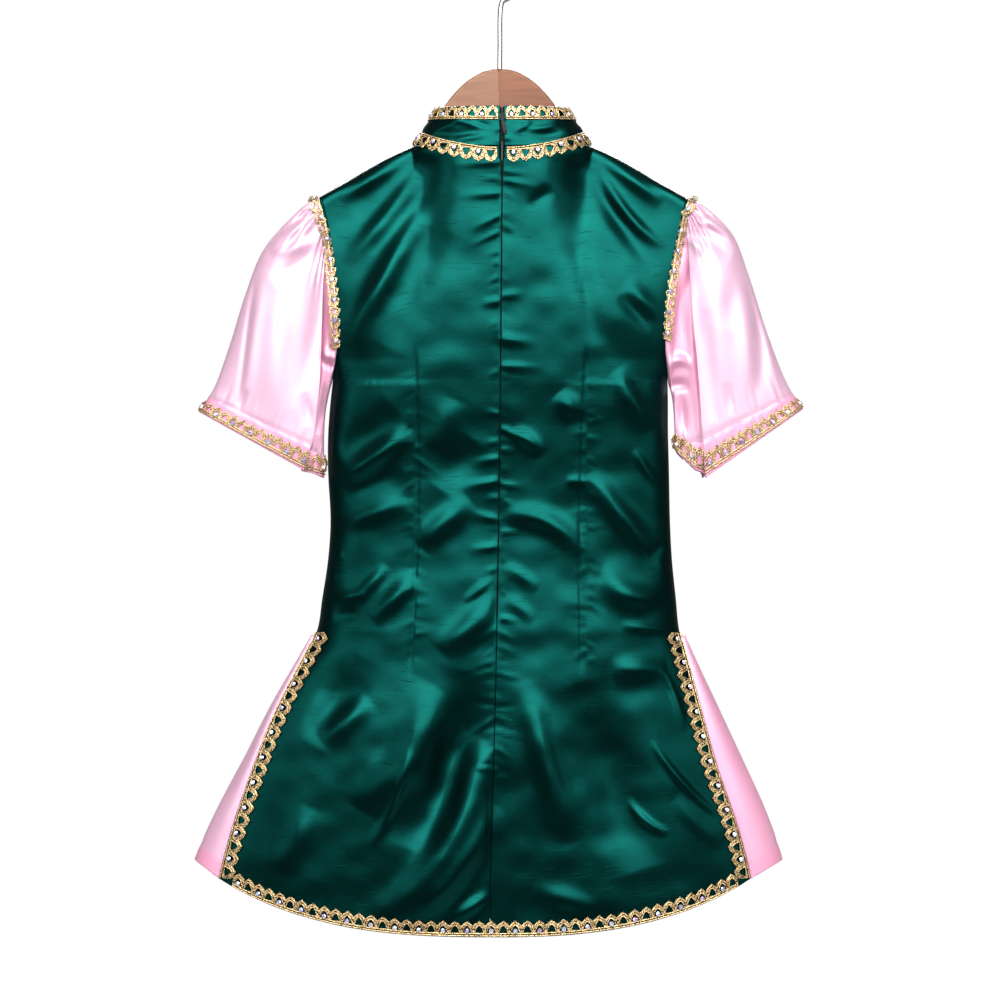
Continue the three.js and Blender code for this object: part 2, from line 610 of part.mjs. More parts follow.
// Lengths along a curve given by a parameter from 0 to 1.
function paced(curve, steps = 60) {
  const lengths = [0];
  for (let i = 1; i <= steps; i += 1) {
    lengths.push(lengths[i - 1] + curve(i / steps).distanceTo(curve((i - 1) / steps)));
  }
  const total = lengths[steps];
  const share = (a) => {
    const wanted = Math.min(total, Math.max(0, a));
    let i = 0;
    while (i < steps - 1 && lengths[i + 1] < wanted) i += 1;
    return (i + (wanted - lengths[i]) / (lengths[i + 1] - lengths[i])) / steps;
  };
  return { total, share };
}

function lifted(surface, facing, p, q, height) {
  return surface(p, q).addScaledVector(normalAt(surface, p, q, facing), height);
}

function addHemAndSlitLace() {
  for (const [word, side] of [['back', -1], ['front', 1]]) {
    const surface = (u, z) => bodyPoint(side, u, z);
    surface.stepP = STEP_ACROSS;
    surface.stepQ = STEP_DOWN;
    const corner = 1 - LACE.width / reach(-1, HEM_LACE.cornerZ);
    const across = (f) => lerp(-corner, corner, f);
    const hemLine = paced((f) => bodyPoint(side, across(f), hemOf(across(f)) + HEM_LACE.inset));
    laceStrip(`lace_hem_${word}`, hemLine.total, HEM_LACE.pitch, (a, b, height) => {
      const u = across(hemLine.share(a));
      return lifted(surface, -side, u, hemOf(u) + HEM_LACE.inset + b, height);
    });
    for (const [hand, sign] of [['left', -1], ['right', 1]]) {
      const down = (f) => lerp(SLIT_TOP - SLIT_LACE.belowTop, hemOf(1) + SLIT_LACE.aboveHem, f);
      const slitLine = paced((f) => bodyPoint(side, sign, down(f)));
      laceStrip(`lace_slit_${word}_${hand}`, slitLine.total, SLIT_LACE.pitch, (a, b, height) => {
        const z = down(slitLine.share(a));
        const u = sign * (1 - (b + SLIT_LACE.inset) / reach(sign, z));
        return lifted(surface, -side, u, z, height + SLIT_LACE.lift);
      });
    }
  }
}

function addNeckLace() {
  const start = BESIDE_ZIP / COLLAR_TOP_HALF;
  const ring = (f) => lerp(start, 2 * Math.PI - start, f);
  const topLine = paced((f) => collarSurface(ring(f), 1), 120);
  laceStrip('lace_collar', topLine.total, COLLAR_LACE.pitch, (a, b, height) => {
    const share = 1 - (LACE.width + COLLAR_LACE.inset - b) / COLLAR_SLANT;
    return lifted(collarSurface, 1, ring(topLine.share(a)), share, height);
  });
  const below = (angle, drop) => {
    const sine = Math.sin(angle);
    const side = Math.cos(angle) >= 0 ? -1 : 1;
    const u = (NECK_HALF * sine) / reach(sine, BODY[0].z);
    return bodyPoint(side, u, topOf(side, u) - drop);
  };
  const seamLine = paced((f) => below(ring(f), 0), 120);
  laceStrip('lace_neck', seamLine.total, NECK_LACE.pitch, (a, b, height) => {
    const angle = ring(seamLine.share(a));
    const edge = lerp(NECK_LACE.sideDrop, NECK_LACE.backDrop, Math.cos(angle) ** 2);
    const drop = edge - LACE.width + b;
    const base = drop > 0 ? below(angle, drop) : collarSurface(angle, -drop / COLLAR_SLANT);
    return base.addScaledVector(normalAt(collarSurface, angle, COLLAR_FOOT, 1), height + NECK_LACE.lift);
  });
}

function addSleeveLace() {
  for (const [hand, sign, table] of [['left', -1, LEFT_SLEEVE], ['right', 1, RIGHT_SLEEVE]]) {
    const surface = sleeveSurface(table, sign);
    const calm = sleeveSurface(table, sign, false);
    const turn = (f) => lerp(-1, 1, f);
    const overShoulder = (f) => lerp(-ARMHOLE_LACE_END, ARMHOLE_LACE_END, f);
    const cuffLine = paced((f) => surface(turn(f), 1), 120);
    laceStrip(`lace_cuff_${hand}`, cuffLine.total, CUFF_LACE.pitch, (a, b, height) => {
      const t = turn(cuffLine.share(a));
      return lifted(surface, -sign, t, 1 - (b + CUFF_LACE.inset) / sleeveLength(surface, t), height);
    }, true);
    const seamLine = paced((f) => calm(overShoulder(f), 0), 120);
    laceStrip(`lace_armhole_${hand}`, seamLine.total, ARMHOLE_LACE.pitch, (a, b, height) => {
      const t = overShoulder(seamLine.share(a));
      const share = (b + ARMHOLE_LACE.inset) / sleeveLength(calm, t);
      return lifted(calm, -sign, t, share, height + ARMHOLE_LACE.lift);
    });
  }
}

// A point on the centre back line, from the collar's top to the zip's foot.
function centreBack(out, z, inward) {
  const neck = topOf(-1, 0);
  const angle = out / COLLAR_TOP_HALF;
  if (z > neck) {
    const point = collarSurface(angle, (z - neck - SEAM) / COLLAR_HEIGHT_BACK);
    return new THREE.Vector3(BODY[0].centre + out, point.y + inward, z);
  }
  const point = bodyPoint(-1, out / reach(1, z), z);
  return new THREE.Vector3(along(BODY, 'z', 'centre', z) + out, point.y + inward, z);
}

function addZip() {
  const neck = topOf(-1, 0);
  const top = neck + COLLAR_HEIGHT_BACK - 1;
  const bodyRows = PANEL_ROWS.map((v) => lerp(neck, HEM_CENTRE, v)).filter((z) => z >= ZIP_FOOT);
  const heights = [top, lerp(top, neck, 0.5), ...bodyRows];
  const caps = [[0, 1, 2], [0, 2, 5], [2, 3, 4], [2, 4, 5]];
  for (const [name, sign] of [['zip_tape_left', -1], ['zip_tape_right', 1]]) {
    const points = [];
    const triangles = [];
    for (const z of heights) {
      for (const { out, inward } of ZIP_TAPE) points.push(centreBack(sign * out, z, inward));
    }
    const corners = ZIP_TAPE.length;
    const last = (heights.length - 1) * corners;
    for (let row = 0; row < heights.length - 1; row += 1) {
      for (let k = 0; k < corners; k += 1) {
        const next = (k + 1) % corners;
        const a = row * corners;
        triangles.push([a + k, a + next, a + corners + next], [a + k, a + corners + next, a + corners + k]);
      }
    }
    for (const [a, b, c] of caps) {
      triangles.push([a, c, b], [last + a, last + b, last + c]);
    }
    addMesh(name, closedGeometry(points, triangles), 'zip');
  }
  const stop = new THREE.BoxGeometry(ZIP_STOP.width, ZIP_STOP.thick, ZIP_STOP.tall);
  const stopAt = centreBack(0, ZIP_FOOT + ZIP_STOP.tall, ZIP_TAPE[4].inward + SEAM + ZIP_STOP.thick / 2);
  addMesh('zip_stop', stop, 'steel').position.copy(stopAt);
  addSlider();
}

// The slider's plate has two ears; the pull tab's eye turns between them.
function addSlider() {
  const { width, tall, plate, ear, earReach } = SLIDER;
  const outline = new THREE.Shape();
  const half = width / 2;
  const faceY = centreBack(0, SLIDER.z - tall, 0).y - SEAM;
  outline.moveTo(-half, 0);
  outline.lineTo(half, 0);
  outline.lineTo(half, plate + earReach);
  outline.lineTo(half - ear, plate + earReach);
  outline.lineTo(half - ear, plate);
  outline.lineTo(-half + ear, plate);
  outline.lineTo(-half + ear, plate + earReach);
  outline.lineTo(-half, plate + earReach);
  outline.closePath();
  const body = new THREE.ExtrudeGeometry(outline, { depth: tall, bevelEnabled: false });
  const slider = addMesh('zip_slider', body, 'steel');
  const pivot = new THREE.Vector3(BODY[0].centre, faceY - plate - earReach / 2, SLIDER.z);
  const hung = new THREE.Group();
  hung.position.copy(pivot);
  hung.rotation.y = -PULL.tilt;
  part.add(hung);
  slider.rotation.x = Math.PI;
  slider.position.set(0, plate + earReach / 2, tall / 2);
  hung.add(slider);
  hung.add(pullTab());
}

function pullTab() {
  const { width, eye, length, thick, hole, neck, shoulder } = PULL;
  const outline = new THREE.Shape();
  const eyeHalf = eye / 2;
  const half = width / 2;
  outline.absarc(0, 0, eyeHalf, 0, Math.PI, false);
  outline.lineTo(-eyeHalf, -neck);
  outline.lineTo(-half, -shoulder);
  outline.absarc(0, -(length - half), half, Math.PI, 2 * Math.PI, false);
  outline.lineTo(half, -shoulder);
  outline.lineTo(eyeHalf, -neck);
  outline.closePath();
  const punched = new THREE.Path();
  punched.absarc(0, -(length - half), hole, 0, 2 * Math.PI, true);
  outline.holes.push(punched);
  const flat = new THREE.ExtrudeGeometry(outline, { depth: thick, bevelEnabled: false, curveSegments: 6 });
  flat.translate(0, 0, -thick / 2);
  const tab = new THREE.Mesh(flat, finish('steel'));
  tab.name = 'zip_pull';
  tab.rotation.x = Math.PI / 2;
  return tab;
}

function solidOf(geometry) {
  const bare = geometry.clone();
  bare.deleteAttribute('normal');
  bare.deleteAttribute('uv');
  const merged = mergeVertices(bare, 1e-4);
  const vertProperties = new Float32Array(merged.attributes.position.array);
  const triVerts = new Uint32Array(merged.index.array);
  return new wasm.Manifold(new wasm.Mesh({ numProp: 3, vertProperties, triVerts }));
}

function geometryOf(solid) {
  const { vertProperties, triVerts } = solid.getMesh();
  const geometry = new THREE.BufferGeometry();
  geometry.setAttribute('position', new THREE.BufferAttribute(vertProperties, 3));
  geometry.setIndex(new THREE.BufferAttribute(triVerts, 1));
  geometry.computeVertexNormals();
  return geometry;
}

// One wooden arm: a rounded crown that shows above the collar, then an arm
// along the shoulder, drilled for the hook's wire.
function armGeometry(sign) {
  const outline = new THREE.Shape();
  const inner = sign * WOOD_SPLIT + SEAM / 2;
  const crownTall = WOOD_CROWN.top - WOOD_CROWN.foot;
  const crown = [];
  for (let i = 0; i <= CROWN_STEPS; i += 1) {
    const x = i > 0 ? (WOOD_CROWN.half * i) / CROWN_STEPS : inner;
    const drop = crownTall * Math.abs(x / WOOD_CROWN.half) ** WOOD_CROWN.power;
    crown.push(new THREE.Vector2(x, WOOD_CROWN.top - drop));
  }
  const edge = (rows) => rows.map(({ out, z }) => new THREE.Vector2(out > 0 ? out : inner, z));
  outline.setFromPoints([...crown, ...edge(WOOD_TOP_EDGE), ...edge(WOOD_FOOT_EDGE)]);
  const depth = WOOD_THICK - 2 * WOOD_BEVEL;
  const geometry = new THREE.ExtrudeGeometry(outline, {
    depth,
    bevelThickness: WOOD_BEVEL,
    bevelSize: WOOD_BEVEL,
    bevelOffset: -WOOD_BEVEL,
    bevelSegments: 2,
  });
  geometry.translate(0, 0, -depth / 2);
  geometry.rotateX(Math.PI / 2);
  if (sign < 0) geometry.rotateZ(Math.PI);
  return geometry;
}

function addHanger() {
  const drill = new THREE.CylinderGeometry(WIRE_HOLE, WIRE_HOLE, WIRE_DEPTH + 4, 12);
  drill.rotateX(Math.PI / 2);
  drill.translate(SHANK_X, 0, WOOD_CROWN.top + 2 - WIRE_DEPTH / 2);
  const bore = solidOf(drill);
  for (const [hand, sign] of [['left', -1], ['right', 1]]) {
    const arm = solidOf(armGeometry(sign)).subtract(bore);
    addMesh(`hanger_arm_${hand}`, geometryOf(arm), `${hand}Wood`);
  }
  const foot = WOOD_CROWN.top - WIRE_DEPTH + SEAM;
  const ringZ = WIRE_RADIUS - HOOK_RADIUS;
  const route = [
    new THREE.Vector3(SHANK_X, 0, foot),
    new THREE.Vector3(SHANK_X + 0.3, 0, lerp(foot, SHANK_TOP, 0.5)),
    new THREE.Vector3(SHANK_X + 1, 0, SHANK_TOP),
    new THREE.Vector3(SHANK_X + 7, 0, SHANK_TOP + 7),
  ];
  for (let degrees = -35; degrees <= 215; degrees += 25) {
    const angle = (degrees * Math.PI) / 180;
    route.push(new THREE.Vector3(HOOK_RADIUS * Math.cos(angle), 0, ringZ + HOOK_RADIUS * Math.sin(angle)));
  }
  const curve = new THREE.CatmullRomCurve3(route, false, 'centripetal');
  const section = new THREE.Shape();
  section.absarc(0, 0, WIRE_RADIUS, 0, 2 * Math.PI, false);
  const wire = new THREE.ExtrudeGeometry(section, { steps: 40, extrudePath: curve, curveSegments: 4 });
  addMesh('hanger_hook', wire, 'steel');
}

addBody();
addCollar();
addInserts();
addSleeves();
addHemAndSlitLace();
addNeckLace();
addSleeveLace();
addZip();
addHanger();

export default part;
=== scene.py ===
"""A child's ballet dress on a wooden hanger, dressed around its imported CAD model.

All shapes are worked out in millimetres in the frame of the CAD model (+Z up,
the zipped back towards -Y, +X to the right as seen from behind) and become
metres when a mesh is made.
"""

import logging
import math
from collections.abc import Callable
from dataclasses import dataclass, field, replace
from enum import Enum

import bpy
import numpy as np
from mathutils import Matrix, Vector


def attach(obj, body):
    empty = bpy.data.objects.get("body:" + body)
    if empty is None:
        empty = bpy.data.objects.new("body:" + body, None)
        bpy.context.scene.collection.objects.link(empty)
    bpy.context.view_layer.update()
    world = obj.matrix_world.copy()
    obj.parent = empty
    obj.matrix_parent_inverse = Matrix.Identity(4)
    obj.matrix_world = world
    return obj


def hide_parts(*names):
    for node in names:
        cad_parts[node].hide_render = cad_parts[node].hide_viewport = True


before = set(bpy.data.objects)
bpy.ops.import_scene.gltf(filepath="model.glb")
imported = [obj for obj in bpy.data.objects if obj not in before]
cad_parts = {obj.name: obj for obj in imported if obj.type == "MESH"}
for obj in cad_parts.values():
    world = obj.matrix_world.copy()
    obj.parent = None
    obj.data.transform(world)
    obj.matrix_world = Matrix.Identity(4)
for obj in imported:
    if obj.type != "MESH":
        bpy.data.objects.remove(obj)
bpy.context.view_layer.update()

LOG = logging.getLogger("ballet_dress")
MM = 0.001  # a millimetre in metres
CLOTH = 1.2  # the cloth's thickness
SEAM = 0.3  # the gap between pieces that are sewn together

Array = np.ndarray
Material = bpy.types.Material
Node = bpy.types.Node
Piece = bpy.types.Object
Socket = bpy.types.NodeSocket
Tree = bpy.types.NodeTree
Colour = tuple[float, float, float, float]
Pair = tuple[float, float]
Triple = tuple[float, float, float]
Surface = Callable[[Array, Array], Array]
Place = Callable[[Array, Array, Array], Array]


class Named(Enum):
    """A choice whose name is part of the names of nodes and pieces."""

    @property
    def word(self) -> str:
        """The name in small letters."""
        return self.name.lower()


class Side(Named):
    """The back or the front of the dress, by the sign of Y."""

    BACK = -1
    FRONT = 1


class Hand(Named):
    """The left or the right of the dress as seen from behind, by the sign of X."""

    LEFT = -1
    RIGHT = 1


# Numbers.


def smooth(f: Array) -> Array:
    """Rises softly from 0 to 1 as f does."""
    c = np.clip(f, 0.0, 1.0)
    return c * c * (3.0 - 2.0 * c)


def lerp(a: Array, b: Array, f: Array) -> Array:
    """The value a share f of the way from a to b."""
    return a + (b - a) * f


def unit(v: Array) -> Array:
    """Vectors of length 1 along v."""
    return v / np.maximum(np.linalg.norm(v, axis=-1, keepdims=True), 1e-9)


def points(x: Array, y: Array, z: Array) -> Array:
    """Joins three arrays of coordinates to points."""
    return np.stack(np.broadcast_arrays(x, y, z), axis=-1)


class Table:
    """A form's sizes at uneven steps, read between its rows on a smooth curve."""

    def __init__(self, names: str, rows: list[tuple[float, ...]]) -> None:
        """Keeps the rows.

        Args:
            names: the columns' names; the first is the one that is read along.
            rows: the numbers, one tuple for each step.
        """
        key, *columns = names.split()
        ordered = np.array(sorted(rows), float)
        self.keys = ordered[:, 0]
        self.columns = {name: ordered[:, i + 1] for i, name in enumerate(columns)}

    def read(self, name: str, at: Array) -> Array:
        """Reads a column.

        Args:
            name: the column.
            at: places along the first column.

        Returns:
            The column's values there, held beyond its ends.
        """
        keys, values = self.keys, self.columns[name]
        slopes = np.gradient(values, edge_order=1)
        slopes[1:-1] = (values[2:] - values[:-2]) / (keys[2:] - keys[:-2])
        slopes[0] = (values[1] - values[0]) / (keys[1] - keys[0])
        slopes[-1] = (values[-1] - values[-2]) / (keys[-1] - keys[-2])
        at = np.clip(at, keys[0], keys[-1])
        i = np.clip(np.searchsorted(keys, at, side="right") - 1, 0, len(keys) - 2)
        span = keys[i + 1] - keys[i]
        f = (at - keys[i]) / span
        held = values[i] * (2 * f**3 - 3 * f**2 + 1) + values[i + 1] * (3 * f**2 - 2 * f**3)
        turned = slopes[i] * (f**3 - 2 * f**2 + f) + slopes[i + 1] * (f**3 - f**2)
        return held + turned * span


def normals_of(surface: Surface, p: Array, q: Array, facing: int,
               steps: Pair) -> Array:
    """The outward unit normals of a surface.

    Args:
        surface: gives points for two parameters.
        p: first parameters.
        q: second parameters.
        facing: 1 or -1, which turns the normals outwards.
        steps: small steps of the two parameters.

    Returns:
        One vector for each pair of parameters.
    """
    dp, dq = steps
    along_p = surface(p + dp, q) - surface(p - dp, q)
    along_q = surface(p, q + dq) - surface(p, q - dq)
    return unit(np.cross(along_p, along_q)) * facing


class Run:
    """A curve measured by its length."""

    def __init__(self, curve: Callable[[Array], Array], steps: int = 240) -> None:
        """Measures the curve.

        Args:
            curve: gives points for shares from 0 to 1.
            steps: how many pieces it is measured in.
        """
        self.shares = np.linspace(0.0, 1.0, steps + 1)
        line = curve(self.shares)
        gaps = np.linalg.norm(np.diff(line, axis=0), axis=1)
        self.lengths = np.concatenate([[0.0], np.cumsum(gaps)])
        self.total = float(self.lengths[-1])

    def share(self, at: Array) -> Array:
        """The curve's share at a length along it."""
        return np.interp(at, self.lengths, self.shares)


# Creases.


@dataclass(frozen=True)
class Crease:
    """A soft ridge, or a trough below zero, from one point of a panel to another.

    bow is how far its middle bends to the left of its way, half its half-width
    and hold the share of its height that it keeps at its start.
    """

    from_x: float
    from_z: float
    to_x: float
    to_z: float
    half: float
    height: float
    bow: float = 0.0
    hold: float = 0.0

    def lift(self, x: Array, z: Array) -> Array:
        """How far the cloth stands out at places of the panel.

        Args:
            x: places across.
            z: places down.

        Returns:
            Heights in millimetres.
        """
        dx, dz = self.to_x - self.from_x, self.to_z - self.from_z
        length = math.hypot(dx, dz)
        f = ((x - self.from_x) * dx + (z - self.from_z) * dz) / length**2
        away = ((x - self.from_x) * -dz + (z - self.from_z) * dx) / length
        away = away - 4.0 * self.bow * f * (1.0 - f)
        inside = np.clip(f, 0.0, 1.0)
        both = np.sin(np.pi * inside)
        from_start = (1.0 - inside) ** 1.5 * smooth((f + 0.08) / 0.08)
        grow = self.half * (1.0 - self.hold * 0.5 * (1.0 - inside))
        shape = np.exp(-((away / grow) ** 2))
        ends = (1.0 - self.hold) * both + self.hold * from_start
        beyond = np.exp(-((np.abs(f - inside) * length / self.half) ** 2))
        return self.height * shape * ends * beyond


def puckers(seed: int, top: float, foot: float, gap: float, at: float, way: int,
            reach: Pair, height: float) -> list[Crease]:
    """Small uneven creases that start at an upright seam.

    Args:
        seed: fixes the random draws.
        top: the highest.
        foot: the lowest.
        gap: the mean distance between two.
        at: the seam's place across.
        way: 1 where they run to the right, -1 to the left.
        reach: the shortest and longest.
        height: the largest height.

    Returns:
        The creases, ridges and troughs mixed.
    """
    draw = np.random.default_rng(seed)
    made: list[Crease] = []
    z = top
    while z > foot:
        long = draw.uniform(*reach) * draw.uniform(0.4, 1.0)
        drop = draw.uniform(-0.25, 0.85) * long
        high = height * draw.uniform(0.35, 1.0) * (1 if draw.uniform() < 0.7 else -0.7)
        half = draw.uniform(1.6, 4.2)
        made.append(Crease(at, z, at + way * long, z - drop, half, high, hold=1.0))
        z -= gap * draw.uniform(0.55, 1.45)
    return made


# The body of the dress.


@dataclass
class BodyForm:
    """The fitted body: its outline, its depth, its darts and its folds."""

    widths: Table = field(default_factory=lambda: Table("z left right centre depth", [
        (-200, 145.6, 152.0, 1.6, 34), (-225, 140.0, 146.4, 1.4, 35.5),
        (-261, 134.4, 138.4, 1.1, 37), (-285, 131.4, 134.6, 0.9, 38),
        (-321, 130.6, 132.6, 0.6, 39), (-351, 135.6, 135.6, 0.3, 39),
        (-389, 139.0, 136.0, -0.1, 37), (-421, 139.2, 136.8, -0.5, 36),
        (-461, 137.2, 137.6, -1.0, 36), (-493, 139.2, 139.2, -1.6, 38),
        (-525, 144.0, 142.4, -2.1, 41), (-550, 148.0, 145.0, -2.6, 44),
        (-570, 158.0, 150.5, -3.0, 46), (-614, 180.5, 162.0, -4.0, 50),
        (-660, 198.4, 174.5, -5.2, 53), (-707, 214.4, 190.5, -6.6, 55),
        (-749, 225.2, 201.0, -7.6, 57), (-791, 230.0, 205.0, -8.0, 58),
    ]))
    shoulder: Table = field(default_factory=lambda: Table("out z", [
        (70.8, -158), (89, -166), (109, -177), (122, -185), (145, -198), (152, -202),
    ]))
    shoulder_radius: float = 9.0
    shoulder_fall: float = 130.0
    neck_half: float = 70.8
    neck_back_dip: float = 4.4
    neck_front_dip: float = 42.0
    neck_spread: float = 40.0
    armhole: Triple = (-199.0, -351.0, 18.0)
    slit: Triple = (-550.0, 22.0, 60.0)
    hem_centre: float = -791.0
    hem_rise: float = 42.0
    hem_power: float = 2.65
    dart_half: float = 1.7
    dart_depth: float = 0.9
    dart_ends: Pair = (-318.0, -588.0)
    first_z: float = -200.0
    seam_hold: float = 0.75
    creased_by: float = 1.3
    seam_reach: float = 3.6
    skirt_more: float = 0.7
    swell: float = 0.0022
    neck_soft: float = 24.0

    def __post_init__(self) -> None:
        """Lists the creases of the back and of the front."""
        self.creases = {Side.BACK: back_creases(), Side.FRONT: front_creases()}

    def reach(self, u: Array, z: Array) -> Array:
        """The distance from the centre seam to the side that u lies on.

        Args:
            u: places across, from -1 to 1.
            z: heights.

        Returns:
            Distances.
        """
        sway = self.widths.read("centre", z)
        left = self.widths.read("left", z) + sway
        right = self.widths.read("right", z) - sway
        return np.where(u < 0, left, right)

    def top(self, side: Side, u: Array) -> Array:
        """The height of the neckline or the shoulder.

        Args:
            side: back or front.
            u: places across, from -1 to 1.

        Returns:
            Heights.
        """
        out = np.abs(u) * self.reach(u, np.full_like(u, self.first_z))
        near = np.clip(1.0 - (out / self.neck_half) ** 2, 0.0, 1.0)
        if side is Side.BACK:
            dip = self.neck_back_dip * near
        else:
            dip = self.neck_front_dip * near**0.8
        neck = -158.0 - dip
        return np.where(out >= self.neck_half, self.shoulder.read("z", out), neck)

    def below_neck(self, angle: Array, drop: Array | float = 0.0, creased: bool = True) -> Array:
        """Points below the neck seam.

        Args:
            angle: the angle round the neck from the centre back.
            drop: how far below the seam.
            creased: False for the calm form.

        Returns:
            Points in millimetres.
        """
        sine, cosine = np.sin(angle), np.cos(angle)
        u = self.neck_half * sine / self.reach(sine, np.full_like(sine, self.first_z))
        back, front = (self.point(side, u, self.top(side, u) - drop, creased) for side in Side)
        return np.where((cosine >= 0)[..., None], back, front)

    def hem(self, u: Array) -> Array:
        """The height of the hem."""
        return self.hem_centre + self.hem_rise * np.abs(u) ** self.hem_power

    def edge_gap(self, z: Array) -> Array:
        """Half the gap between back and front at the armhole and the slit.

        Args:
            z: heights.

        Returns:
            Half gaps.
        """
        top, foot, half = self.armhole
        arm = np.clip(1.0 - ((z - (top + foot) / 2) / ((top - foot) / 2)) ** 2, 0.0, 1.0)
        slit_top, slit_half, opening = self.slit
        fall = np.maximum(0.0, slit_top - z)
        return half * np.sqrt(arm) + slit_half * (1.0 - np.exp(-fall / opening))

    def dart_x(self, hand: int, z: Array) -> Array:
        """The place across of a dart, which follows the seams of the photo."""
        return self.widths.read("centre", z) + hand * (69.0 + 3.5 * np.sin((z + 320.0) / 86.0))

    def relief(self, side: Side, x: Array, z: Array) -> Array:
        """The height of all creases and darts over the calm form.

        Args:
            side: back or front.
            x: places across.
            z: heights.

        Returns:
            How far the cloth stands out.
        """
        high = np.zeros(np.broadcast(x, z).shape)
        strength = self.creased_by + self.skirt_more * smooth((-560.0 - z) / 70.0)
        for crease in self.creases[side]:
            high = high + strength * crease.lift(x, z)
        if side is Side.BACK:
            from_seam = x - self.widths.read("centre", z)
            high = high * (1.0 - self.seam_hold * np.exp(-((from_seam / self.seam_reach) ** 2)))
        high = high + self.unrest(side, x, z)
        for hand in (-1, 1):
            away = (x - self.dart_x(hand, z)) / self.dart_half
            top, foot = self.dart_ends
            ends = smooth((top - z) / 20.0) * smooth((z - foot) / 20.0)
            high = high - self.dart_depth * np.exp(-(away**2)) * ends
        return high

    def unrest(self, side: Side, x: Array, z: Array) -> Array:
        """Slow, shallow swells of the cloth between its creases.

        Args:
            side: back or front.
            x: places across.
            z: heights.

        Returns:
            How far the cloth stands out.
        """
        draw = np.random.default_rng(31 + side.value)
        high = np.zeros(np.broadcast(x, z).shape)
        for wave in np.geomspace(70.0, 20.0, 14):
            way, start = draw.uniform(-0.9, 0.9), draw.uniform(0.0, 6.28)
            along = x * math.sin(way) + z * math.cos(way)
            across = (x * math.cos(way) - z * math.sin(way)) / (wave * 2.3)
            bend = np.sin(across + start)
            high = high + self.swell * wave * np.sin(along * 6.28 / wave + start + bend)
        return high

    def point(self, side: Side, u: Array, z: Array, creased: bool = True) -> Array:
        """Points of the cloth's outer face.

        Args:
            side: back or front.
            u: from -1 at the left side to 1 at the right.
            z: heights, which stop at the top edge.
            creased: False for the calm form.

        Returns:
            Points in millimetres.
        """
        u, z = np.broadcast_arrays(np.clip(u, -1.0, 1.0), z)
        out = np.abs(u)
        top = self.top(side, u)
        z = np.minimum(top, z)
        fall = top - z
        x = self.widths.read("centre", z) + u * self.reach(u, z)
        edge = self.edge_gap(z)
        bow = 0.5 + 0.35 * np.minimum(1.0, edge / 12.0)
        full = edge + (self.widths.read("depth", z) - edge) * (1.0 - out**2.4) ** bow
        radius = self.shoulder_radius
        cap = np.sqrt(radius**2 - (radius - np.minimum(fall, radius)) ** 2)
        shoulder = cap + (full - radius) * smooth(fall / self.shoulder_fall)
        first = self.reach(u, np.full_like(u, self.first_z))
        neck_out = np.minimum(1.0, out * first / self.neck_half)
        neck = (1.0 - neck_out**2) ** (0.5 + fall / self.neck_spread)
        if creased:
            flat = (1.0 - neck_out**4) ** 2
            neck = lerp(np.sqrt(1.0 - neck_out**2), flat, smooth(fall / self.neck_soft))
        depth = shoulder + (full - shoulder) * neck
        if creased:
            fade = (1.0 - out**10) * smooth(fall / 14.0)
            depth = depth + fade * self.relief(side, x, z)
        depth = np.maximum(depth, 0.0)
        return points(x, side.value * (depth + SEAM / 2), z)


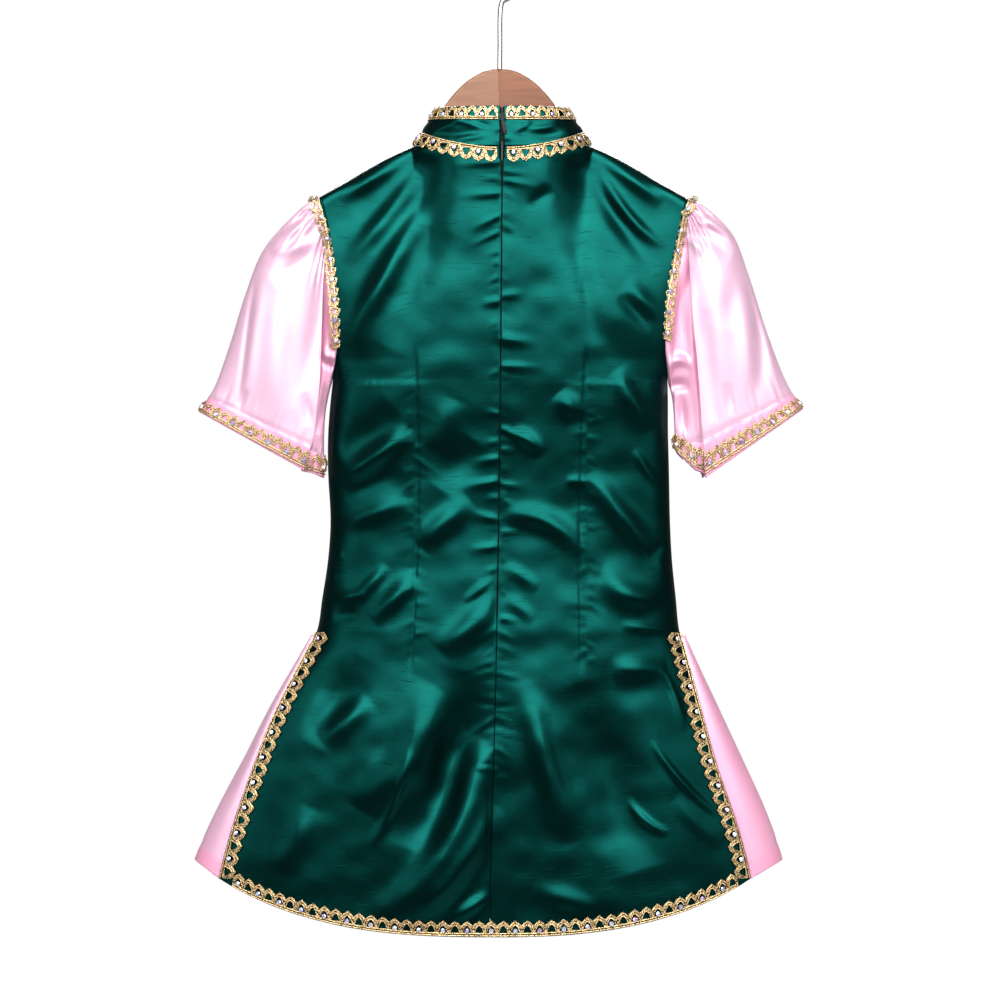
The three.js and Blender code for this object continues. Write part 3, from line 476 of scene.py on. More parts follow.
def back_creases() -> list[Crease]:
    """The creases of the back, as the photo shows them."""
    rows = [
        # Shoulders to armholes, left.
        (-75, -167, -130, -202, 6.5, 2.6), (-58, -171, -126, -254, 8, 3.6, 4),
        (-55, -201, -124, -321, 9, 4.6), (-51, -226, -92, -322, 17, -3.2),
        # Shoulders to armholes, right.
        (80, -166, 131, -205, 6, 2.6), (79, -173, 134, -242, 4.5, 2.8, -8),
        (74, -177, 128, -261, 7.5, -2.4, -5), (100, -271, 132, -299, 7, 2.2),
        (96, -280, 122, -309, 6, -1.8), (62, -238, 78, -322, 8, -1.8),
        (42, -194, 22, -213, 5, -1.4),
        # Chest to waist, left.
        (-84, -372, -128, -409, 13, -2.6), (-70, -390, -130, -430, 8, 4.0),
        (-77, -421, -124, -442, 8, -1.8), (-74, -445, -130, -467, 7, 2.3),
        (-36, -365, -54, -405, 10, 2.2), (-20, -398, -48, -436, 13, -3.0),
        (-24, -445, -64, -481, 9, 3.6), (-67, -506, -102, -541, 7, 3.0),
        (-90, -498, -115, -523, 5, 1.8), (-125, -487, -138, -494, 3.5, 1.3),
        (-132, -505, -139, -510, 3, 1.2), (-134, -524, -104, -520, 4, 1.6),
        (-136, -538, -110, -536, 5, -1.4), (-2, -517, -48, -565, 10, 4.2, 4),
        (-5, -507, -29, -526, 3, 1.3),
        # Chest to waist, right.
        (46, -360, 62, -379, 7, 2.6), (93, -341, 124, -387, 8, 3.2, -3),
        (10, -388, 34, -408, 6, 2.4), (52, -430, 69, -429, 3, 1.3),
        (70, -424, 124, -490, 9, 4.2), (108, -404, 131, -435, 3.5, 1.8, -2),
        (2, -454, 66, -486, 8, 3.6, 8), (3, -497, 30, -516, 5, 1.3, 1),
        (3, -522, 27, -541, 5, 1.3, 1), (80, -505, 134, -522, 10, 4.0, -8),
        (135, -479, 118, -490, 3.5, -1.6), (126, -492, 137, -506, 4, 1.6),
        (96, -545, 142, -550, 3, 1.3),
        # Skirt, left.
        (-54, -592, -112, -690, 16, 4.4, 15), (-71, -642, -103, -721, 3.5, 1.6, 4),
        (-24, -582, -66, -723, 16, -5.6, 6), (-14, -635, -93, -779, 13, 5.6, 17),
        (-5, -685, -74, -781, 10, 4.4, 9), (-6, -755, -37, -778, 5, 1.8),
        (-104, -604, -142, -636, 9, 2.2),
        (-150, -690, -176, -742, 10, 1.6),
        (-110, -570, -150, -640, 14, -2.0),
        # Skirt, right.
        (18, -587, 54, -717, 10, 3.4), (66, -590, 110, -740, 22, -4.0),
        (88, -579, 134, -579, 8, 2.6), (128, -577, 148, -630, 2.5, 1.4, 3),
        (121, -637, 177, -699, 2.6, 1.6, -4), (102, -683, 134, -711, 2.6, 1.4, -4),
        (24, -752, 78, -770, 8, 1.4), (140, -682, 180, -722, 7, 1.2, -2),
    ]
    made = [Crease(*row) for row in rows]
    seam_rows = [
        (-1, -175, -45, 3, 1.2, 2), (-1, -187, -20, 2, 0.8, 2), (-1, -200, -40, 4, 1.5, 2),
        (-1, -218, -26, 3, 1.3, 13), (-1, -231, -26, 2.6, 1.4, 12), (-1, -247, -12, 2, 0.9, 2),
        (-1, -268, -12, 2, 0.8, 4), (-1, -286, -17, 4, 1.7, 3), (-1, -303, -10, 2, 0.8, 2),
        (-1, -376, -16, 3, 1.3, -2), (-1, -398, -14, 3, 1.3, 2), (-1, -412, -26, 4.5, 1.9, 4),
        (-1, -430, -38, 5, 2.0, 6), (-1, -443, -12, 3, 1.3, 1), (-1, -461, -27, 4, 1.9, -7),
        (-1, -482, -27, 4, 1.9, 3), (-1, -499, -14, 3, 1.2, 4),
        (1, -182, 26, 3, 1.2, 3), (1, -189, 34, 3, 1.4, 6), (1, -199, 13, 3, 1.0, 5),
        (1, -225, 14, 3, 1.1, 6), (1, -282, 20, 4, 1.8, -2), (1, -317, 34, 6, 2.1, 3),
        (1, -338, 38, 4, 1.6, 2), (1, -388, 34, 4, 1.9, 14), (1, -405, 14, 3, 1.1, 1),
        (1, -432, 20, 3, 1.4, 3), (1, -445, 12, 2.5, 1.2, 4), (1, -470, 18, 2.5, 1.3, 1),
        (1, -539, 16, 3, 1.3, 3),
    ]
    made += [Crease(x, z, x + long, z - drop, half, high, hold=1.0)
             for x, z, long, half, high, drop in seam_rows]
    made += puckers(11, -190, -520, 13, -1, -1, (7, 16), 0.9)
    made += puckers(12, -190, -520, 13, 1, 1, (7, 16), 0.9)
    made += puckers(13, -548, -665, 10, -4, -1, (16, 40), 1.0)
    made += puckers(14, -548, -665, 10, -4, 1, (16, 40), 0.9)
    for seed, at, way in ((15, -70, -1), (16, -67, 1), (17, 68, -1), (18, 71, 1)):
        made += puckers(seed, -345, -580, 12, at, way, (10, 26), 0.5)
    return made


def front_creases() -> list[Crease]:
    """The creases of the front, which the photo doesn't show: much as the back's."""
    rows = [
        (-60, -186, -122, -270, 9, 3.0), (-46, -214, -104, -312, 13, -2.6),
        (62, -188, 120, -262, 8, 3.0), (44, -216, 110, -306, 13, -2.4),
        (-40, -330, 36, -342, 9, 1.6, 4), (-118, -372, -62, -340, 9, 2.4),
        (60, -346, 124, -384, 8, 2.6), (-128, -424, -70, -402, 8, 2.8),
        (-66, -430, -10, -412, 8, -2.0), (20, -418, 66, -434, 8, 2.4, 4),
        (70, -420, 128, -452, 9, 3.0), (-126, -470, -74, -454, 7, 2.2),
        (-60, -470, 0, -452, 9, 2.2), (10, -466, 64, -484, 8, -2.2),
        (74, -476, 132, -498, 8, 2.6), (-132, -520, -70, -494, 9, 2.8),
        (-56, -520, 10, -500, 9, -2.4), (30, -512, 84, -530, 9, 2.8),
        (-30, -560, -120, -750, 14, 4.8, 14), (10, -580, 20, -770, 18, -4.0),
        (56, -560, 130, -745, 14, 4.6, -10), (-80, -570, -160, -700, 12, -3.0),
        (-8, -640, -40, -780, 8, 2.6, 4), (96, -560, 160, -690, 9, -2.6),
        (40, -660, 66, -778, 8, 2.4), (126, -620, 176, -700, 4, 1.4, -4),
        (-130, -610, -180, -690, 4, 1.4, 4), (-90, -760, -60, -768, 5, 1.2),
    ]
    made = [Crease(*row) for row in rows]
    for seed, at, way in ((25, -70, -1), (26, -67, 1), (27, 68, -1), (28, 71, 1)):
        made += puckers(seed, -345, -580, 11, at, way, (6, 16), 0.7)
    return made


# Meshes.


def arc_lengths(grid: Array, axis: int) -> Array:
    """Lengths along the rows or columns of a grid of points, from its middle.

    Args:
        grid: points of shape (columns, rows, 3).
        axis: the axis to go along.

    Returns:
        Lengths, of shape (columns, rows).
    """
    gaps = np.linalg.norm(np.diff(grid, axis=axis), axis=-1)
    lengths = np.cumsum(gaps, axis=axis)
    start = np.zeros_like(np.take(lengths, [0], axis=axis))
    lengths = np.concatenate([start, lengths], axis=axis)
    middle = np.take(lengths, [lengths.shape[axis] // 2], axis=axis)
    return lengths - middle


def turned_edge(grid: Array, normals: Array, radius: float) -> Array:
    """Rolls the last row of a grid inwards, as a turned and pressed edge.

    Args:
        grid: points of shape (rows, columns, 3); the last row is the edge.
        normals: the outward normals, of the same shape.
        radius: the roll's radius.

    Returns:
        The grid with three more rows; it grows no wider.
    """
    edge, inward = grid[-1], normals[-1]
    out = unit(edge - grid[-2])
    out = unit(out - inward * np.sum(out * inward, axis=-1, keepdims=True))
    base = edge - out * radius
    rows = [base + out * radius * math.sin(a) - inward * radius * (1.0 - math.cos(a))
            for a in (0.0, 0.55, 1.1, 1.65)]
    return np.concatenate([grid[:-1], np.array(rows)], axis=0)


class Edge(Enum):
    """Which edges of a grid of cloth are turned in."""

    FIRST_COLUMN = "first column"
    LAST_COLUMN = "last column"
    FIRST_ROW = "first row"
    LAST_ROW = "last row"


def rolled(grid: Array, normals: Array, edges: list[Edge], radius: float) -> Array:
    """Turns in some edges of a grid of shape (columns, rows, 3).

    Args:
        grid: the points.
        normals: the outward normals.
        edges: the edges to turn in.
        radius: the roll's radius.

    Returns:
        The grid with more rows and columns.
    """
    ways = {
        Edge.LAST_COLUMN: (lambda a: a, lambda a: a),
        Edge.FIRST_COLUMN: (lambda a: a[::-1], lambda a: a[::-1]),
        Edge.LAST_ROW: (lambda a: a.swapaxes(0, 1), lambda a: a.swapaxes(0, 1)),
        Edge.FIRST_ROW: (lambda a: a.swapaxes(0, 1)[::-1], lambda a: a[::-1].swapaxes(0, 1)),
    }
    for edge in edges:
        there, back = ways[edge]
        grid = back(turned_edge(there(grid), there(normals), radius))
        pad = there(normals)
        normals = back(np.concatenate([pad, np.repeat(pad[-1:], 3, axis=0)], axis=0))
    return grid


def linked(name: str, data: bpy.types.ID) -> Piece:
    """Adds an object for a mesh, curve, light or camera to the scene."""
    made = bpy.data.objects.new(name, data)
    bpy.context.scene.collection.objects.link(made)
    return made


def shade_smooth(mesh: bpy.types.Mesh) -> None:
    """Makes all faces of a mesh smooth."""
    mesh.polygons.foreach_set("use_smooth", np.ones(len(mesh.polygons), bool))


def worked_out(name: str, thing: Piece) -> bpy.types.Mesh:
    """The plain mesh that a curve, or an object with a modifier, comes to.

    Args:
        name: the mesh's name.
        thing: the curve or object.

    Returns:
        The new mesh.
    """
    bpy.context.view_layer.update()
    ready = thing.evaluated_get(bpy.context.evaluated_depsgraph_get())
    mesh = bpy.data.meshes.new_from_object(ready)
    mesh.name = name
    return mesh


def grid_mesh(name: str, grid: Array, facing: int, looped: bool = False) -> Piece:
    """Makes a smooth mesh of a grid of points, with a UV map in metres of cloth.

    Args:
        name: the piece's name.
        grid: points of shape (columns, rows, 3), in millimetres.
        facing: 1 where columns x rows turn outwards, -1 where inwards.
        looped: True where the last column joins the first.

    Returns:
        The new object, in the scene.
    """
    columns, rows = grid.shape[:2]
    across = arc_lengths(grid, 0) * MM
    down = arc_lengths(grid, 1) * MM
    spans = columns if looped else columns - 1
    i, j = np.meshgrid(np.arange(spans), np.arange(rows - 1), indexing="ij")
    i, j = i.ravel(), j.ravel()
    nxt = (i + 1) % columns
    corners = [(i, j), (nxt, j), (nxt, j + 1), (i, j + 1)]
    if facing < 0:
        corners = corners[::-1]
    faces = np.stack([a * rows + b for a, b in corners], axis=1)
    mesh = bpy.data.meshes.new(name)
    mesh.from_pydata((grid.reshape(-1, 3) * MM).tolist(), [], faces.tolist())
    layer = mesh.uv_layers.new(name="cut")
    wide = across.max(axis=0)[None, :] + np.linalg.norm(grid[0] - grid[-1], axis=-1)[None, :] * MM
    uv = []
    for a, b in corners:
        first = across[a, b]
        if looped:
            first = np.where((a == 0) & (nxt == 0), wide[0, b], first)
        uv.append(np.stack([first, down[a, b]], axis=1))
    layer.data.foreach_set("uv", np.stack(uv, axis=1).astype(np.float32).ravel())
    shade_smooth(mesh)
    mesh.update()
    return linked(name, mesh)


def solidify(piece: Piece, thickness: float) -> None:
    """Gives a sheet its thickness, inwards of its outer face.

    Args:
        piece: the sheet.
        thickness: in millimetres.
    """
    wall = piece.modifiers.new("wall", "SOLIDIFY")
    wall.thickness = thickness * MM
    wall.offset = -1.0
    wall.use_quality_normals = True


def paint_band(piece: Piece, tone: Array) -> None:
    """Keeps on each point how far the cloth turns to its deeper pink: a doubled hem's own tone, and
    painted shade elsewhere.
    """
    band = piece.data.attributes.new("band", "FLOAT", "POINT")
    band.data.foreach_set("value", tone.ravel())


def dress(piece: Piece, material: Material, nodes: list[str],
          body: str = "dress_on_hanger") -> Piece:
    """Gives a piece its material, its body and the nodes that it replaces.

    Args:
        piece: the piece.
        material: its material.
        nodes: the CAD nodes that it replaces.
        body: the body that it moves with.

    Returns:
        The piece.
    """
    piece.data.materials.clear()
    piece.data.materials.append(material)
    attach(piece, body)
    if nodes:
        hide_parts(*nodes)
    faces = len(piece.data.polygons)
    LOG.info("%s: %d faces, replaces %s", piece.name, faces, ", ".join(nodes) or "nothing")
    return piece


# Nodes and finishes.


def linear(hex_colour: str) -> Colour:
    """The linear colour of an sRGB hex value."""
    parts = [int(hex_colour[i:i + 2], 16) / 255 for i in (1, 3, 5)]
    return (*[c / 12.92 if c <= 0.04045 else ((c + 0.055) / 1.055) ** 2.4 for c in parts], 1.0)


def add_node(tree: Tree, kind: str, inputs: dict[str | int, object] | None = None,
             **settings: object) -> Node:
    """Adds a node to a tree of any kind.

    Args:
        tree: a material's or a geometry tree.
        kind: the node's type.
        inputs: a value or another node's output socket, by input name or number.
        settings: properties of the node.

    Returns:
        The new node.
    """
    node = tree.nodes.new(kind)
    for name, value in settings.items():
        setattr(node, name, value)
    for name, value in (inputs or {}).items():
        if isinstance(value, Socket):
            tree.links.new(value, node.inputs[name])
        else:
            node.inputs[name].default_value = value
    return node


def ramp(tree: Tree, factor: Socket,
         stops: list[tuple[float, Colour]]) -> Socket:
    """A colour ramp over a factor, given by its stops.

    Args:
        tree: the tree.
        factor: what is coloured, from 0 to 1.
        stops: places and their linear colours.

    Returns:
        The ramp's colour.
    """
    node = add_node(tree, "ShaderNodeValToRGB", {"Fac": factor})
    bar = node.color_ramp.elements
    while len(bar) < len(stops):
        bar.new(0.5)
    for element, (at, colour) in zip(bar, stops):
        element.position = at
        element.color = colour
    return node.outputs["Color"]


def maths(tree: Tree, operation: str, *values: object) -> Socket:
    """One sum in a tree of any kind."""
    made = add_node(tree, "ShaderNodeMath", dict(enumerate(values)), operation=operation)
    return made.outputs[0]


def noise(tree: Tree, vector: Socket, scale: float, detail: float, **more: float) -> Socket:
    """A noise texture's value."""
    inputs = {"Vector": vector, "Scale": scale, "Detail": detail, **more}
    return add_node(tree, "ShaderNodeTexNoise", inputs).outputs["Fac"]


def bumped(tree: Tree, shader: Node, height: Socket, strength: float, metres: float) -> None:
    """Makes a shader's surface rise and sink with a pattern."""
    bump = add_node(tree, "ShaderNodeBump", {
        "Height": height, "Strength": strength, "Distance": metres}).outputs["Normal"]
    tree.links.new(bump, shader.inputs["Normal"])


def new_material(name: str, **sockets: object) -> tuple[Material, Node]:
    """A material with a principled shader.

    Args:
        name: the material's name.
        sockets: values of the shader, with underscores for spaces.

    Returns:
        The material and its shader node.
    """
    material = bpy.data.materials.new(name)
    material.use_nodes = True
    shader = material.node_tree.nodes["Principled BSDF"]
    for socket, value in sockets.items():
        shader.inputs[socket.replace("_", " ")].default_value = value
    return material, shader


@dataclass(frozen=True)
class Satin:
    """Woven satin with the uneven threads of dupion: a coloured sheen over a dull ground."""

    name: str
    ground: str
    light: str
    metallic: float
    roughness: float
    sheen: float
    specular: float
    slub: float
    thread_mm: float = 0.9
    slub_mm: float = 24.0
    # The deeper pink: a doubled hem's own tone, and painted shade in the fold under the arm and on
    # the inserts.
    doubled: str = "#d58fab"

    def build(self) -> Material:
        """Makes the material.

        Returns:
            The material, patterned on the cloth's own UV map in metres.
        """
        material, shader = new_material(
            self.name, Metallic=self.metallic, Roughness=self.roughness,
            Sheen_Weight=self.sheen, Sheen_Roughness=0.4, Specular_IOR_Level=self.specular)
        tree = material.node_tree
        cut = add_node(tree, "ShaderNodeUVMap", uv_map="cut").outputs["UV"]
        # Slubs: threads thicker for a stretch, long across the cloth and one thread high.
        stretched = add_node(tree, "ShaderNodeMapping", {
            "Vector": cut, "Scale": (1000 / self.slub_mm, 1000 / self.thread_mm, 1.0)}).outputs[0]
        slubs = noise(tree, stretched, 1.0, 2.0, Roughness=0.6)
        thick = ramp(tree, slubs, [(0.61, (0, 0, 0, 1)), (0.76, (1, 1, 1, 1))])
        # Slow changes of the dye and of the pile's lie.
        cloud = noise(tree, cut, 26.0, 2.0)
        base = ramp(tree, cloud, [(0.3, linear(self.ground)), (0.7, linear(self.light))])
        marked = add_node(tree, "ShaderNodeMix", {
            0: 1.0, 6: base, 7: base}, data_type="RGBA", blend_type="MULTIPLY")
        marks = maths(tree, "MULTIPLY", thick, 2.2 * self.slub)
        tinted = add_node(tree, "ShaderNodeMix", {
            0: marks, 6: base, 7: marked.outputs[2]}, data_type="RGBA")
        # A turned-up hem shows deeper, as cloth lies over cloth there; the deeper pink in the fold
        # under the arm and on the inserts is painted shade.
        hem = add_node(tree, "ShaderNodeAttribute", attribute_name="band").outputs["Fac"]
        doubled = add_node(tree, "ShaderNodeMix", {
            0: hem, 6: tinted.outputs[2], 7: linear(self.doubled)}, data_type="RGBA")
        tree.links.new(doubled.outputs[2], shader.inputs["Base Color"])
        # Fine rib of the weft, drawn as coarse as a render can show, and the slubs on it.
        fine = add_node(tree, "ShaderNodeMapping", {
            "Vector": cut, "Scale": (1000 / 6.0, 1000 / 0.45, 1.0)}).outputs[0]
        rib = noise(tree, fine, 1.0, 1.0)
        high = maths(tree, "MULTIPLY_ADD", thick, 1.2, rib)
        bumped(tree, shader, high, self.slub, 0.00012)
        return material


@dataclass(frozen=True)
class GoldCord:
    """Metallic gold thread, whipped round a core: its turns are bumped, and their highlights and
    shade are painted into the colour.
    """

    name: str = "gold_lurex_cord"
    # Painted shade, middle tone and painted highlight of the whipped thread.
    dark: str = "#3f2c18"
    mid: str = "#a3834f"
    light: str = "#dfc799"

    def build(self) -> Material:
        """Makes the material, patterned on Object coordinates."""
        material, shader = new_material(self.name, Metallic=0.55, Roughness=0.4)
        tree = material.node_tree
        place = add_node(tree, "ShaderNodeTexCoord").outputs["Object"]
        turns_and_painted_shine = noise(tree, place, 1500.0, 1.0)
        # Painted highlights and shade: the noise that bumps the whipping also runs the colour from
        # dark to light gold.
        colour = ramp(tree, turns_and_painted_shine, [(0.40, linear(self.dark)), (0.49, linear(self.mid)),
                                    (0.58, linear(self.light))])
        tree.links.new(colour, shader.inputs["Base Color"])
        bumped(tree, shader, turns_and_painted_shine, 0.5, 0.0002)
        return material


@dataclass(frozen=True)
class Rhinestone:
    """Foil-backed glass with an aurora coat: facets in white, blue, violet and rose, each picked by
    the way it faces, as painted glints of the coat.
    """

    name: str = "aurora_rhinestone"

    def build(self) -> Material:
        """Makes the material; each stone's tint is in its tint attribute."""
        material, shader = new_material(
            self.name, Metallic=0.55, Roughness=0.07, Coat_Weight=1.0, Coat_Roughness=0.03)
        tree = material.node_tree
        tint = add_node(tree, "ShaderNodeAttribute", attribute_name="tint").outputs["Fac"]
        facing = add_node(tree, "ShaderNodeNewGeometry").outputs["Normal"]
        # Painted glints: each facet's colour is picked by the way it faces, as the coat's changing
        # reflections.
        painted_glint = noise(tree, facing, 2.6, 0.0)
        turned = maths(tree, "FRACT", maths(tree, "ADD", tint, painted_glint))
        colour = ramp(tree, turned, [
            (0.0, linear("#f4f6ff")), (0.28, linear("#a9b6e6")), (0.45, linear("#8d7fc4")),
            (0.62, linear("#e5bcd6")), (0.80, linear("#ffffff")), (1.0, linear("#bcd8ea"))])
        tree.links.new(colour, shader.inputs["Base Color"])
        return material


@dataclass(frozen=True)
class Metal:
    """Plated or polished metal with a faint brushing."""

    name: str
    colour: str
    roughness: float

    def build(self) -> Material:
        """Makes the material, patterned on Object coordinates."""
        material, shader = new_material(self.name, Metallic=1.0, Roughness=self.roughness,
                                        Base_Color=linear(self.colour))
        tree = material.node_tree
        place = add_node(tree, "ShaderNodeTexCoord").outputs["Object"]
        brushed = add_node(tree, "ShaderNodeMapping", {
            "Vector": place, "Scale": (1200.0, 1200.0, 160.0)}).outputs[0]
        marks = noise(tree, brushed, 1.0, 2.0)
        bumped(tree, shader, marks, 0.12, 0.0001)
        return material


@dataclass(frozen=True)
class Beech:
    """Varnished beech: fine pores and slow bands of grain under a soft gloss."""

    name: str
    dark: str
    light: str
    grain_mm: float = 3.0

    def build(self) -> Material:
        """Makes the material, patterned on Object coordinates."""
        material, shader = new_material(self.name, Roughness=0.55, Specular_IOR_Level=0.25,
                                        Coat_Weight=0.06, Coat_Roughness=0.3)
        tree = material.node_tree
        place = add_node(tree, "ShaderNodeTexCoord").outputs["Object"]
        along = add_node(tree, "ShaderNodeMapping", {
            "Vector": place, "Rotation": (0.0, 0.5, 0.0),
            "Scale": (1000 / (self.grain_mm * 9), 1000 / self.grain_mm, 1000 / self.grain_mm)})
        bands = noise(tree, along.outputs[0], 0.5, 4.0, Distortion=0.6)
        colour = ramp(tree, bands, [(0.30, linear(self.dark)), (0.68, linear(self.light))])
        tree.links.new(colour, shader.inputs["Base Color"])
        bumped(tree, shader, bands, 0.12, 0.0003)
        return material


@dataclass(frozen=True)
class Tape:
    """Woven polyester tape, moulded nylon or sewing thread: dull."""

    name: str
    colour: str
    roughness: float = 0.6

    def build(self) -> Material:
        """Makes the material, with a fine weave on Object coordinates."""
        material, shader = new_material(self.name, Roughness=self.roughness,
                                        Base_Color=linear(self.colour),
                                        Specular_IOR_Level=0.15)
        tree = material.node_tree
        place = add_node(tree, "ShaderNodeTexCoord").outputs["Object"]
        weave = add_node(tree, "ShaderNodeTexWave", {
            "Vector": place, "Scale": 320.0, "Distortion": 1.0},
            bands_direction="DIAGONAL").outputs["Fac"]
        bumped(tree, shader, weave, 0.3, 0.0001)
        return material


@dataclass
class Finishes:
    """Every material of the dress and its hanger."""

    green: Material = field(default_factory=Satin(
        "green_dupion_satin", "#032a27", "#04332f", 0.985, 0.32, 0.0, 0.1, 0.36).build)
    pink: Material = field(default_factory=Satin(
        "pink_satin", "#c89fb4", "#d1aabe", 0.13, 0.48, 0.1, 0.45, 0.05).build)
    gold: Material = field(default_factory=GoldCord().build)
    stone: Material = field(default_factory=Rhinestone().build)
    nickel: Material = field(default_factory=Metal("dark_nickel_plate", "#1d2322", 0.32).build)
    chrome: Material = field(default_factory=Metal("polished_chrome", "#a9a49c", 0.16).build)
    wood_left: Material = field(default_factory=Beech(
        "varnished_beech_left", "#744b33", "#875d43").build)
    wood_right: Material = field(default_factory=Beech(
        "varnished_beech_right", "#633519", "#7d4a2b").build)
    tape: Material = field(default_factory=Tape("woven_zip_tape", "#070b0a").build)
    thread: Material = field(default_factory=Tape("pink_sewing_thread", "#c07f9b").build)
    coil: Material = field(default_factory=Tape("moulded_nylon_coil", "#0a0e0d", 0.5).build)


# Geometry trees.


@dataclass(frozen=True)
class Repeat:
    """A geometry tree that repeats a small form on points that carry turn, size and tint."""

    name: str
    sizes: dict[str, float]

    def group(self) -> tuple[Tree, Node]:
        """Starts the tree with its named inputs.

        Returns:
            The tree and its input node.
        """
        tree = bpy.data.node_groups.new(self.name, "GeometryNodeTree")
        face = tree.interface
        face.new_socket("Geometry", in_out="INPUT", socket_type="NodeSocketGeometry")
        for size, value in self.sizes.items():
            given = face.new_socket(size, in_out="INPUT", socket_type="NodeSocketFloat")
            given.default_value = value
        face.new_socket("Material", in_out="INPUT", socket_type="NodeSocketMaterial")
        face.new_socket("Geometry", in_out="OUTPUT", socket_type="NodeSocketGeometry")
        return tree, add_node(tree, "NodeGroupInput")

    def spread(self, tree: Tree, given: Node, form: Socket, smooth_faces: bool) -> Tree:
        """Ends the tree: the form on every point, made real and given its material.

        Args:
            tree: the tree.
            given: its input node.
            form: the repeated form's output.
            smooth_faces: False for cut facets.

        Returns:
            The finished tree.
        """
        turn, size = (add_node(tree, "GeometryNodeInputNamedAttribute", {"Name": word},
                               data_type="FLOAT_VECTOR").outputs["Attribute"]
                      for word in ("turn", "size"))
        turned = add_node(tree, "FunctionNodeEulerToRotation", {0: turn}).outputs[0]
        placed = add_node(tree, "GeometryNodeInstanceOnPoints", {
            "Points": given.outputs["Geometry"], "Instance": form,
            "Rotation": turned, "Scale": size})
        real = add_node(tree, "GeometryNodeRealizeInstances", {"Geometry": placed.outputs[0]})
        shaded = add_node(tree, "GeometryNodeSetShadeSmooth", {
            "Geometry": real.outputs[0], "Shade Smooth": smooth_faces})
        return self.ended(tree, given, shaded.outputs[0])

    def ended(self, tree: Tree, given: Node, made: Socket) -> Tree:
        """Gives the tree's geometry its material and its output.

        Args:
            tree: the tree.
            given: its input node.
            made: its geometry.

        Returns:
            The finished tree.
        """
        finished = add_node(tree, "GeometryNodeSetMaterial", {
            "Geometry": made, "Material": given.outputs["Material"]})
        add_node(tree, "NodeGroupOutput", {"Geometry": finished.outputs[0]})
        return tree

    @staticmethod
    def rounded(tree: Tree, count: int, size: Pair,
                at: Pair) -> Socket:
        """A closed line: an ellipse of some points, moved to its place.

        Args:
            tree: the tree.
            count: how many points it has.
            size: half its width and height.
            at: its middle.

        Returns:
            The closed line.
        """
        ring = add_node(tree, "GeometryNodeCurvePrimitiveCircle", {
            "Resolution": count, "Radius": 1.0}).outputs["Curve"]
        return add_node(tree, "GeometryNodeTransform", {
            "Geometry": ring, "Scale": (*size, 1.0), "Translation": (*at, 0.0)}).outputs[0]

    @staticmethod
    def shaped(tree: Tree, count: int, wide: float, foot: float, side: float,
               tip: float) -> Socket:
        """A bent circle: flat at its foot, upright at its sides, and pointed at its tip.

        Args:
            tree: the tree.
            count: how many points it has.
            wide: half its width.
            foot: the height of its foot.
            side: the height of its sides.
            tip: the height of its tip.

        Returns:
            The closed line.
        """
        line = Repeat.rounded(tree, count, (1.0, 1.0), (0.0, 0.0))
        place = add_node(tree, "GeometryNodeInputPosition").outputs[0]
        apart = add_node(tree, "ShaderNodeSeparateXYZ", {0: place})
        spread = maths(tree, "MULTIPLY", apart.outputs[0], wide * 1.2)
        out = maths(tree, "MINIMUM", maths(tree, "MAXIMUM", spread, -wide), wide)
        share = maths(tree, "POWER", maths(tree, "DIVIDE", maths(tree, "ABSOLUTE", out), wide), 1.5)
        slope = maths(tree, "MULTIPLY_ADD", share, side - tip, tip)
        upper = maths(tree, "GREATER_THAN", apart.outputs[1], -0.05)
        high = maths(tree, "MULTIPLY_ADD", upper, maths(tree, "SUBTRACT", slope, foot), foot)
        moved = add_node(tree, "ShaderNodeCombineXYZ", {0: out, 1: high}).outputs[0]
        return add_node(tree, "GeometryNodeSetPosition", {
            "Geometry": line, "Position": moved}).outputs[0]

    @staticmethod
    def whipped(tree: Tree, given: Node, line: Socket, sides: int) -> Socket:
        """A cord along a line, thick and thin by turns as its whipping.

        Args:
            tree: the tree.
            given: its input node.
            line: the line.
            sides: how many sides the cord has.

        Returns:
            The cord's mesh.
        """
        index = add_node(tree, "GeometryNodeInputIndex").outputs[0]
        odd = maths(tree, "MODULO", index, 2.0)
        bead = maths(tree, "MULTIPLY_ADD", odd, given.outputs["Bead"], 1.0)
        beaded = add_node(tree, "GeometryNodeSetCurveRadius", {0: line, "Radius": bead}).outputs[0]
        section = add_node(tree, "GeometryNodeCurvePrimitiveCircle", {
            "Resolution": sides, "Radius": given.outputs["Cord"]}).outputs["Curve"]
        return add_node(tree, "GeometryNodeCurveToMesh", {
            "Curve": beaded, "Profile Curve": section, "Fill Caps": True}).outputs[0]

